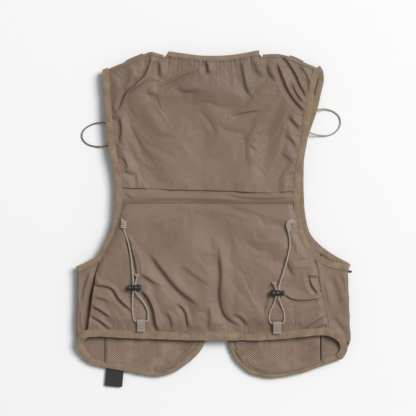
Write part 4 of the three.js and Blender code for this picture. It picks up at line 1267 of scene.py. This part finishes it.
# Bindings
def armholeBinding(side, backName, frontName, sign):
    half = binding["width"] / 2
    back = edge(backName, binding["step"], -sign * half)
    front = edge(frontName, binding["step"], -sign * half)
    zBack = np.full(len(back), heights["backBinding"])
    zFront = np.full(len(front), heights["frontBinding"])
    sway = np.sin(np.arange(len(back)) * 0.21) * 0.0004
    path = np.vstack([
        withHeight(back, zBack + sway),
        [(back[-1, 0] + sign * 0.0005, back[-1, 1], (zBack[0] + zFront[0]) / 2)],
        withHeight(front, zFront)[::-1],
        [(back[0, 0] + sign * 0.001, back[0, 1] + 0.002, (zBack[0] + zFront[0]) / 2)],
    ])
    path = evenLine(np.vstack([path, path[:1]]), binding["step"])[:-1]
    piece = tapePiece(f"armholeBinding_{side}", path, binding["width"], binding["thickness"], closed=True,
                      wavy=0.12,
                      seed=60 + sign)
    place(piece, "tape", "vest", f"armhole_binding_{side}")
    groove = edge(backName, 0.002, -sign * binding["width"] * 0.83)
    place(stitchPiece(f"armholeStitch_{side}", [withHeight(groove, heights["backBinding"] + 0.0013)]),
          "thread")


armholeBinding("left", "leftArm", "leftArm", -1)
armholeBinding("right", "rightArmBack", "rightArmFront", 1)

neckBack = edge("neck", binding["step"], -binding["neckWidth"] / 2)
neckFrontLeft = smoothLine([(-0.081, 0.309), (-0.076, 0.286), (-0.062, 0.256), (-0.040, 0.235),
                            (-0.014, 0.215), (-0.0105, 0.203)], 0.0025)
neckFrontRight = smoothLine([(0.081, 0.309), (0.077, 0.286), (0.066, 0.256), (0.052, 0.237), (0.036, 0.215),
                             (0.0315, 0.203)], 0.0025)
neckPath = np.vstack([
    withHeight(neckFrontLeft, heights["frontBinding"])[::-1],
    withHeight(neckBack, heights["backBinding"] - 0.0012),
    withHeight(neckFrontRight, heights["frontBinding"]),
])
piece = tapePiece("neckBinding", evenLine(neckPath, binding["step"]), binding["neckWidth"], 0.0028,
                  wavy=0.22, seed=71)
place(piece, "tape", "vest", "neck_binding")
gatherLine = edge("neck", 0.0012, -binding["neckWidth"] - 0.0016)
gatherLine = withHeight(gatherLine,
                        np.maximum(yokeHeight(gatherLine[:, :2]), heights["backBinding"]) + 0.0004)
place(stitchPiece("neckStitch", [gatherLine], 0.0040, 0.0022, 0.00045), "darkThread")

hemHeight = {"corner": 0.0112, "back": 0.0232}
hemLine = edge("hemBack", binding["step"])
run = np.linspace(0, 1, len(hemLine))
drop = ease(np.minimum(run, 1 - run) / 0.10)
hemZ = hemHeight["corner"] + (hemHeight["back"] - hemHeight["corner"]) * drop
hemZ += 0.0005 * np.sin(run * 71) * drop + 0.0004 * np.sin(run * 133 + 2) * drop
hemBack = tapePiece("hemBindingBack", withHeight(hemLine, hemZ), binding["hemWidth"], binding["thickness"],
                    wavy=0.16, seed=81)
hemParts = [hemBack]
for name in ("hemFrontLeft", "hemFrontRight"):
    sign = -1 if name == "hemFrontLeft" else 1
    line = edge(name, binding["step"], -sign * binding["frontWidth"] / 2)
    hemParts.append(tapePiece(name, withHeight(line, heights["frontBinding"]), binding["frontWidth"], 0.0034,
                              wavy=0.1, seed=84))
lays = np.concatenate([[tuple(d.vector) for d in part.data.attributes["lay"].data] for part in hemParts])
hemPiece = joinPieces("hemBinding", hemParts)
if "lay" not in hemPiece.data.attributes:
    lay = hemPiece.data.attributes.new("lay", "FLOAT_VECTOR", "POINT")
    lay.data.foreach_set("vector", lays.astype(np.float32).ravel())
place(hemPiece, "tape", "vest", "hem_binding")
hemStitch = beside(withHeight(hemLine, hemZ + 0.0013), binding["hemWidth"] * 0.33)
place(stitchPiece("hemStitch", [hemStitch[6:-6]]), "thread")


def hemPlace(x, into):
    # a point on the back hem binding, into the vest from its lower edge
    k = np.abs(hemLine[14:-14, 0] - x).argmin() + 14
    return (x, hemLine[k, 1] + into, hemZ[k] + 0.0016)


bars = [[hemPlace(x, into) for into in (-0.0060, 0.0068)]
        for x in (-0.0625, -0.0420, 0.0600, 0.0840, 0.1025, 0.1310)]
bars += [[hemPlace(x, 0.0066) for x in (-0.0620, -0.0520, -0.0425)],
         [hemPlace(x, 0.0066) for x in (0.0605, 0.0720, 0.0835)]]
place(stitchPiece("hemBars", [np.array(bar) for bar in bars], 0.0021, 0.0017, 0.00030), "darkThread")

# Facing sewn along the inside of each rounded front corner
for name, sign, low, high in (("hemFrontLeft", -1, 0.022, 0.112), ("hemFrontRight", 1, 0.040, 0.112)):
    line = edge(name, 0.0025, -sign * 0.0158)
    line = line[(sign * line[:, 0] > low) & (sign * line[:, 0] < high) & (line[:, 1] < -0.214)]
    strip = withHeight(line, heights["frontLining"] + 0.0016)
    place(tapePiece(f"frontFacing{name[8:]}", strip, 0.0080, 0.0007, wavy=0.1, seed=93), "shell")
    place(stitchPiece(f"frontFacingStitch{name[8:]}", [beside(strip, sign * 0.0030)[1:-1] + (0, 0, 0.0005)]),
          "darkThread")
bar = np.array([(x, -0.2335 - 0.02 * (x - 0.0535), 0.0138) for x in np.linspace(0.0455, 0.0615, 8)])
place(tapePiece("hemLabelBar", bar, 0.0030, 0.0008), "greyWebbing")

for side, x in (("left", -0.0115), ("right", 0.0325)):
    line = withHeight(np.array([(x, y) for y in np.linspace(-0.1925, 0.194, 140)]), heights["frontBinding"])
    place(tapePiece(f"frontEdgeBinding_{side}", line, 0.011, 0.0034, wavy=0.06, seed=88), "tape", "vest",
          f"front_edge_binding_{side}")
print("bindings made")


# Cord locks: barrel and button, turned so that the button faces outwards
lockBarrel = [(0.0114, 0.0003), (0.0114, 0.0044), (-0.0050, 0.0044), (-0.0050, 0.0052), (-0.0047, 0.0056),
              (-0.0040, 0.0058),
              (-0.0034, 0.0058), (-0.0030, 0.0055), (-0.0026, 0.0058), (0.0046, 0.0058), (0.0050, 0.0055),
              (0.0054, 0.0058),
              (0.0098, 0.0058), (0.0112, 0.0055), (0.0122, 0.0048), (0.0128, 0.0037), (0.0130, 0.0020),
              (0.0130, 0.0004)]
lockButton = [(-0.0133, 0.0003), (-0.0133, 0.0018), (-0.0130, 0.0031), (-0.0123, 0.0042), (-0.0113, 0.0048),
              (-0.0100, 0.0049),
              (-0.0090, 0.0048), (-0.0084, 0.0044), (-0.0083, 0.0041), (0.0065, 0.0041), (0.0065, 0.0004)]
for side, cord in drawcords.items():
    for label, profile, slot, body, node in (
        ("lockBarrel", lockBarrel, (0, 0.0039, 0.0020), f"cord_lock_{side}", f"cord_lock_housing_{side}"),
        ("lockButton", lockButton, (-0.00165, 0.00555, 0.0020), f"lock_button_{side}",
         f"cord_lock_button_{side}"),
    ):
        piece = latheAlongX(f"{label}_{side}", profile, slot)
        co = places(piece)
        if cord["button"] > 0:
            co = co * (-1, -1, 1)
        setPlaces(piece, co + cord["lock"])
        place(piece, "plastic", body, node)

# Cord tabs on the hem: webbing folded over the cord and sewn down
tab = {"width": 0.0152, "thickness": 0.0012, "reach": 0.0206, "eye": 0.0031}
for side, cord in drawcords.items():
    x, y, z = cord["tab"]
    eye = tab["eye"]
    path = [(-tab["reach"], -0.0028), (-0.013, -0.0029), (-0.006, -0.0031)]
    path += [(eye * math.cos(t), eye * math.sin(t)) for t in np.radians([-80, -45, 0, 45, 80, 115])]
    path += [(-0.0065, 0.0012), (-0.011, -0.0008), (-0.016, -0.0014), (-tab["reach"], -0.0015)]
    line = smoothLine([(x, y + a, z + b) for a, b in path], 0.0008)
    piece = tapePiece(f"hemTab_{side}", line, tab["width"], tab["thickness"], across=[(1, 0, 0)] * len(line),
                      wavy=0.02)
    place(piece, "greyWebbing", "vest", f"hem_cord_tab_{side}")
    rows = [np.array([(x + across, y - down, z + lift) for across in np.linspace(-0.0062, 0.0062, 11)])
            for down, lift in ((0.0140, -0.0002), (0.0186, -0.0006))]
    place(stitchPiece(f"hemTabStitch_{side}", rows, 0.0020, 0.0015, 0.00025), "darkThread")

# Cord anchors: a wound knot on the left, a folded webbing loop on the right
turns = np.linspace(0, 7.4 * math.pi, 90)
wound = [(-0.1690 + 0.0043 * math.cos(t) + 0.0006 * t / 9, -0.0168 + 0.00056 * t,
          0.0305 + 0.0019 * math.sin(t)) for t in turns]
wound += [(-0.1712, -0.0022, 0.0288), (-0.1722, -0.0002, 0.0272)]
piece = tubePiece("anchorKnot", evenLine(wound, 0.0008), 0.00175, 14)
place(piece, "braid", "vest", "cord_anchor_left")
arc = [(0.1475 + 0.0060 * math.cos(t), -0.0120 + 0.0078 * math.sin(t), 0.0302 + 0.0012 * math.sin(t - 1.2))
       for t in np.radians(np.linspace(28, 262, 34))]
first = tapePiece("anchorLoop", evenLine(arc, 0.0008), 0.0092, 0.0016, wavy=0.05)
place(first, "greyWebbing", "vest", "cord_anchor_right")
place(stitchPiece("anchorStitch", [np.array([(0.1530, -0.0010, 0.0300), (0.1545, -0.0075, 0.0296)])],
                  0.0018), "darkThread")

# Webbing at the shoulders and the lower left hem
webbing = {
    "shoulderWebbing_left": {"middle": (-0.139, 0.282, 0.0062), "angle": 23, "size": (0.037, 0.056),
                             "finish": "shoulderWebbing", "node": "shoulder_webbing_left"},
    "shoulderWebbing_right": {"middle": (0.148, 0.280, 0.0062), "angle": -24, "size": (0.030, 0.056),
                              "finish": "shoulderWebbing", "node": "shoulder_webbing_right"},
    "hemTabDark": {"middle": (-0.1865, -0.292, 0.0056), "angle": -5, "size": (0.034, 0.052),
                   "finish": "darkWebbing", "node": "hem_webbing_tab"},
}
for name, values in webbing.items():
    angle = math.radians(values["angle"])
    direction = np.array((-math.sin(angle), math.cos(angle), 0))
    ends = [np.array(values["middle"]) + direction * s * values["size"][1] for s in (-0.5, -0.2, 0.2, 0.5)]
    piece = tapePiece(name, smoothLine(ends, 0.002), values["size"][0], 0.0016, wavy=0.01)
    place(piece, values["finish"], "vest", values["node"])

# Pockets on the fronts, puffed out under the vest
pockets = {"lower": {"x": (0.058, 0.230), "y": (-0.240, -0.106), "node": "lower_pocket"},
           "chest": {"x": (0.052, 0.144), "y": (0.040, 0.145), "node": "chest_pocket"}}
for kind, values in pockets.items():
    for side, sign in (("left", -1), ("right", 1)):
        corner = 0.012
        points = []
        for cx, cy, start in ((values["x"][1], values["y"][1], 0), (values["x"][0], values["y"][1], 90),
                              (values["x"][0], values["y"][0], 180), (values["x"][1], values["y"][0], 270)):
            middleX = cx + (corner if cx == values["x"][0] else -corner)
            middleY = cy + (corner if cy == values["y"][0] else -corner)
            points += [(middleX + corner * math.cos(t), middleY + corner * math.sin(t))
                       for t in np.radians(np.linspace(start, start + 90, 7))]
        outline = np.array(points) * (sign, 1)
        rim = np.vstack([outline, outline[:1]])

        def bagHeight(xy):
            away = np.abs(nearLine(xy, rim)[0])
            return 0.0012 + 0.0056 * (1 - ease(away / 0.012)) + np.abs(rolling(xy, 0.05, 0.0004,
                                                                               91)) * ease(away / 0.03)

        panel(f"{kind}Pocket_{side}", outline, bagHeight, "shell", f"{values['node']}_{side}", smooth=0)

# Zips
for side, sign in (("left", -1), ("right", 1)):
    y = -0.0997
    line = [(sign * x, y, 0.0065) for x in np.linspace(0.0585, 0.2295, 90)]
    tape = tapePiece(f"pocketZip_{side}", line, 0.0118, 0.0009, wavy=0.02)
    coil = [(sign * (0.060 + 0.0000168 * i * 6), y + 0.0013 * math.cos(i * 0.785),
             0.0054 + 0.0007 * math.sin(i * 0.785))
            for i in range(1660)]
    place(tape, "darkWebbing", "vest", f"pocket_zip_{side}")
    place(tubePiece(f"pocketZipCoil_{side}", coil, 0.0004, 6), "plastic")
    edgeX = 0.0105 + sign * 0.0165
    line = [(edgeX - sign * 0.0076, y, 0.0086) for y in np.linspace(-0.1925, 0.1998, 120)]
    tape = tapePiece(f"zipTape_{side}", line, 0.0142, 0.0009, wavy=0.01)
    place(tape, "darkWebbing", "vest", f"zip_tape_{side}")
    vertices, faces = [], []
    for i, y in enumerate(np.arange(-0.183, 0.2025, 0.0026)):
        first = len(vertices)
        y += 0.0013 if sign > 0 else 0
        inner = 0.0105 + sign * 0.0005
        for z, shrink in ((0.0073, 0.85), (0.0079, 1.0), (0.0091, 1.0), (0.0097, 0.85)):
            for reach, half in ((0.0013, 0.0009), (0.0004, 0.0008), (-0.0005, 0.0011), (-0.0005, -0.0011),
                                (0.0004, -0.0008),
                                (0.0013, -0.0009)):
                vertices.append((inner + sign * (reach + 0.0004) * shrink, y + half * shrink, z))
        faces += [tuple(first + k for k in face) for face in ringFaces(4, 6)]
    teeth = newPiece(f"zipTeeth_{side}", vertices, faces, smooth=False)
    facesOut(teeth)
    place(teeth, "plastic", "vest", f"zip_teeth_{side}")

carried = {
    "darkMetal": ["zip_bottom_box", "front_zip_slider", "pocket_zip_slider_left", "pocket_zip_slider_right"],
    "pullWebbing": ["front_zip_pull", "pocket_zip_pull_left", "pocket_zip_pull_right"],
    "spring": ["cord_lock_spring_left", "cord_lock_spring_right"],
}
for finish, names in carried.items():
    for name in names:
        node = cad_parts[name]
        node.data.materials.clear()
        node.data.materials.append(finishes[finish])
for side, cord in drawcords.items():
    end = (cord["lock"][0] - cord["button"] * 0.0111, *cord["lock"][1:])
    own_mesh(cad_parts[f"cord_lock_spring_{side}"])
print("hardware made")

# Floor and light
floor = newPiece("floor", [(-4, -4, 0), (4, -4, 0), (4, 4, 0), (-4, 4, 0)], [(0, 1, 2, 3)])
paper = Finish("paper", Specular_IOR_Level=0.1)
grain = paper.noise(paper.place(), 40, 3)
floor.data.materials.append(paper.dress(paper.blend(grain * 0.2, (0.87, 0.87, 0.87, 1),
                                                    (0.90, 0.90, 0.90, 1)), 0.9))

light = {"world": 0.34, "key": 2440.0, "keySize": 7.4, "keyPlace": (8.0, 5.6, 12.4)}
sky = bpy.data.worlds.new("sky")
sky.use_nodes = True
sky.node_tree.nodes["Background"].inputs[0].default_value = (0.985, 0.99, 1.0, 1)
sky.node_tree.nodes["Background"].inputs[1].default_value = light["world"]
scene.world = sky


def softbox(name, place, power, size):
    lamp = bpy.data.lights.new(name, "AREA")
    lamp.energy = power
    lamp.size = size
    holder = bpy.data.objects.new(name, lamp)
    holder.location = place
    holder.rotation_euler = (Vector((0, 0, 0)) - Vector(place)).to_track_quat("-Z", "Y").to_euler()
    scene.collection.objects.link(holder)


softbox("key", light["keyPlace"], light["key"], light["keySize"])
scene.view_settings.view_transform = "Standard"

print("scene made")
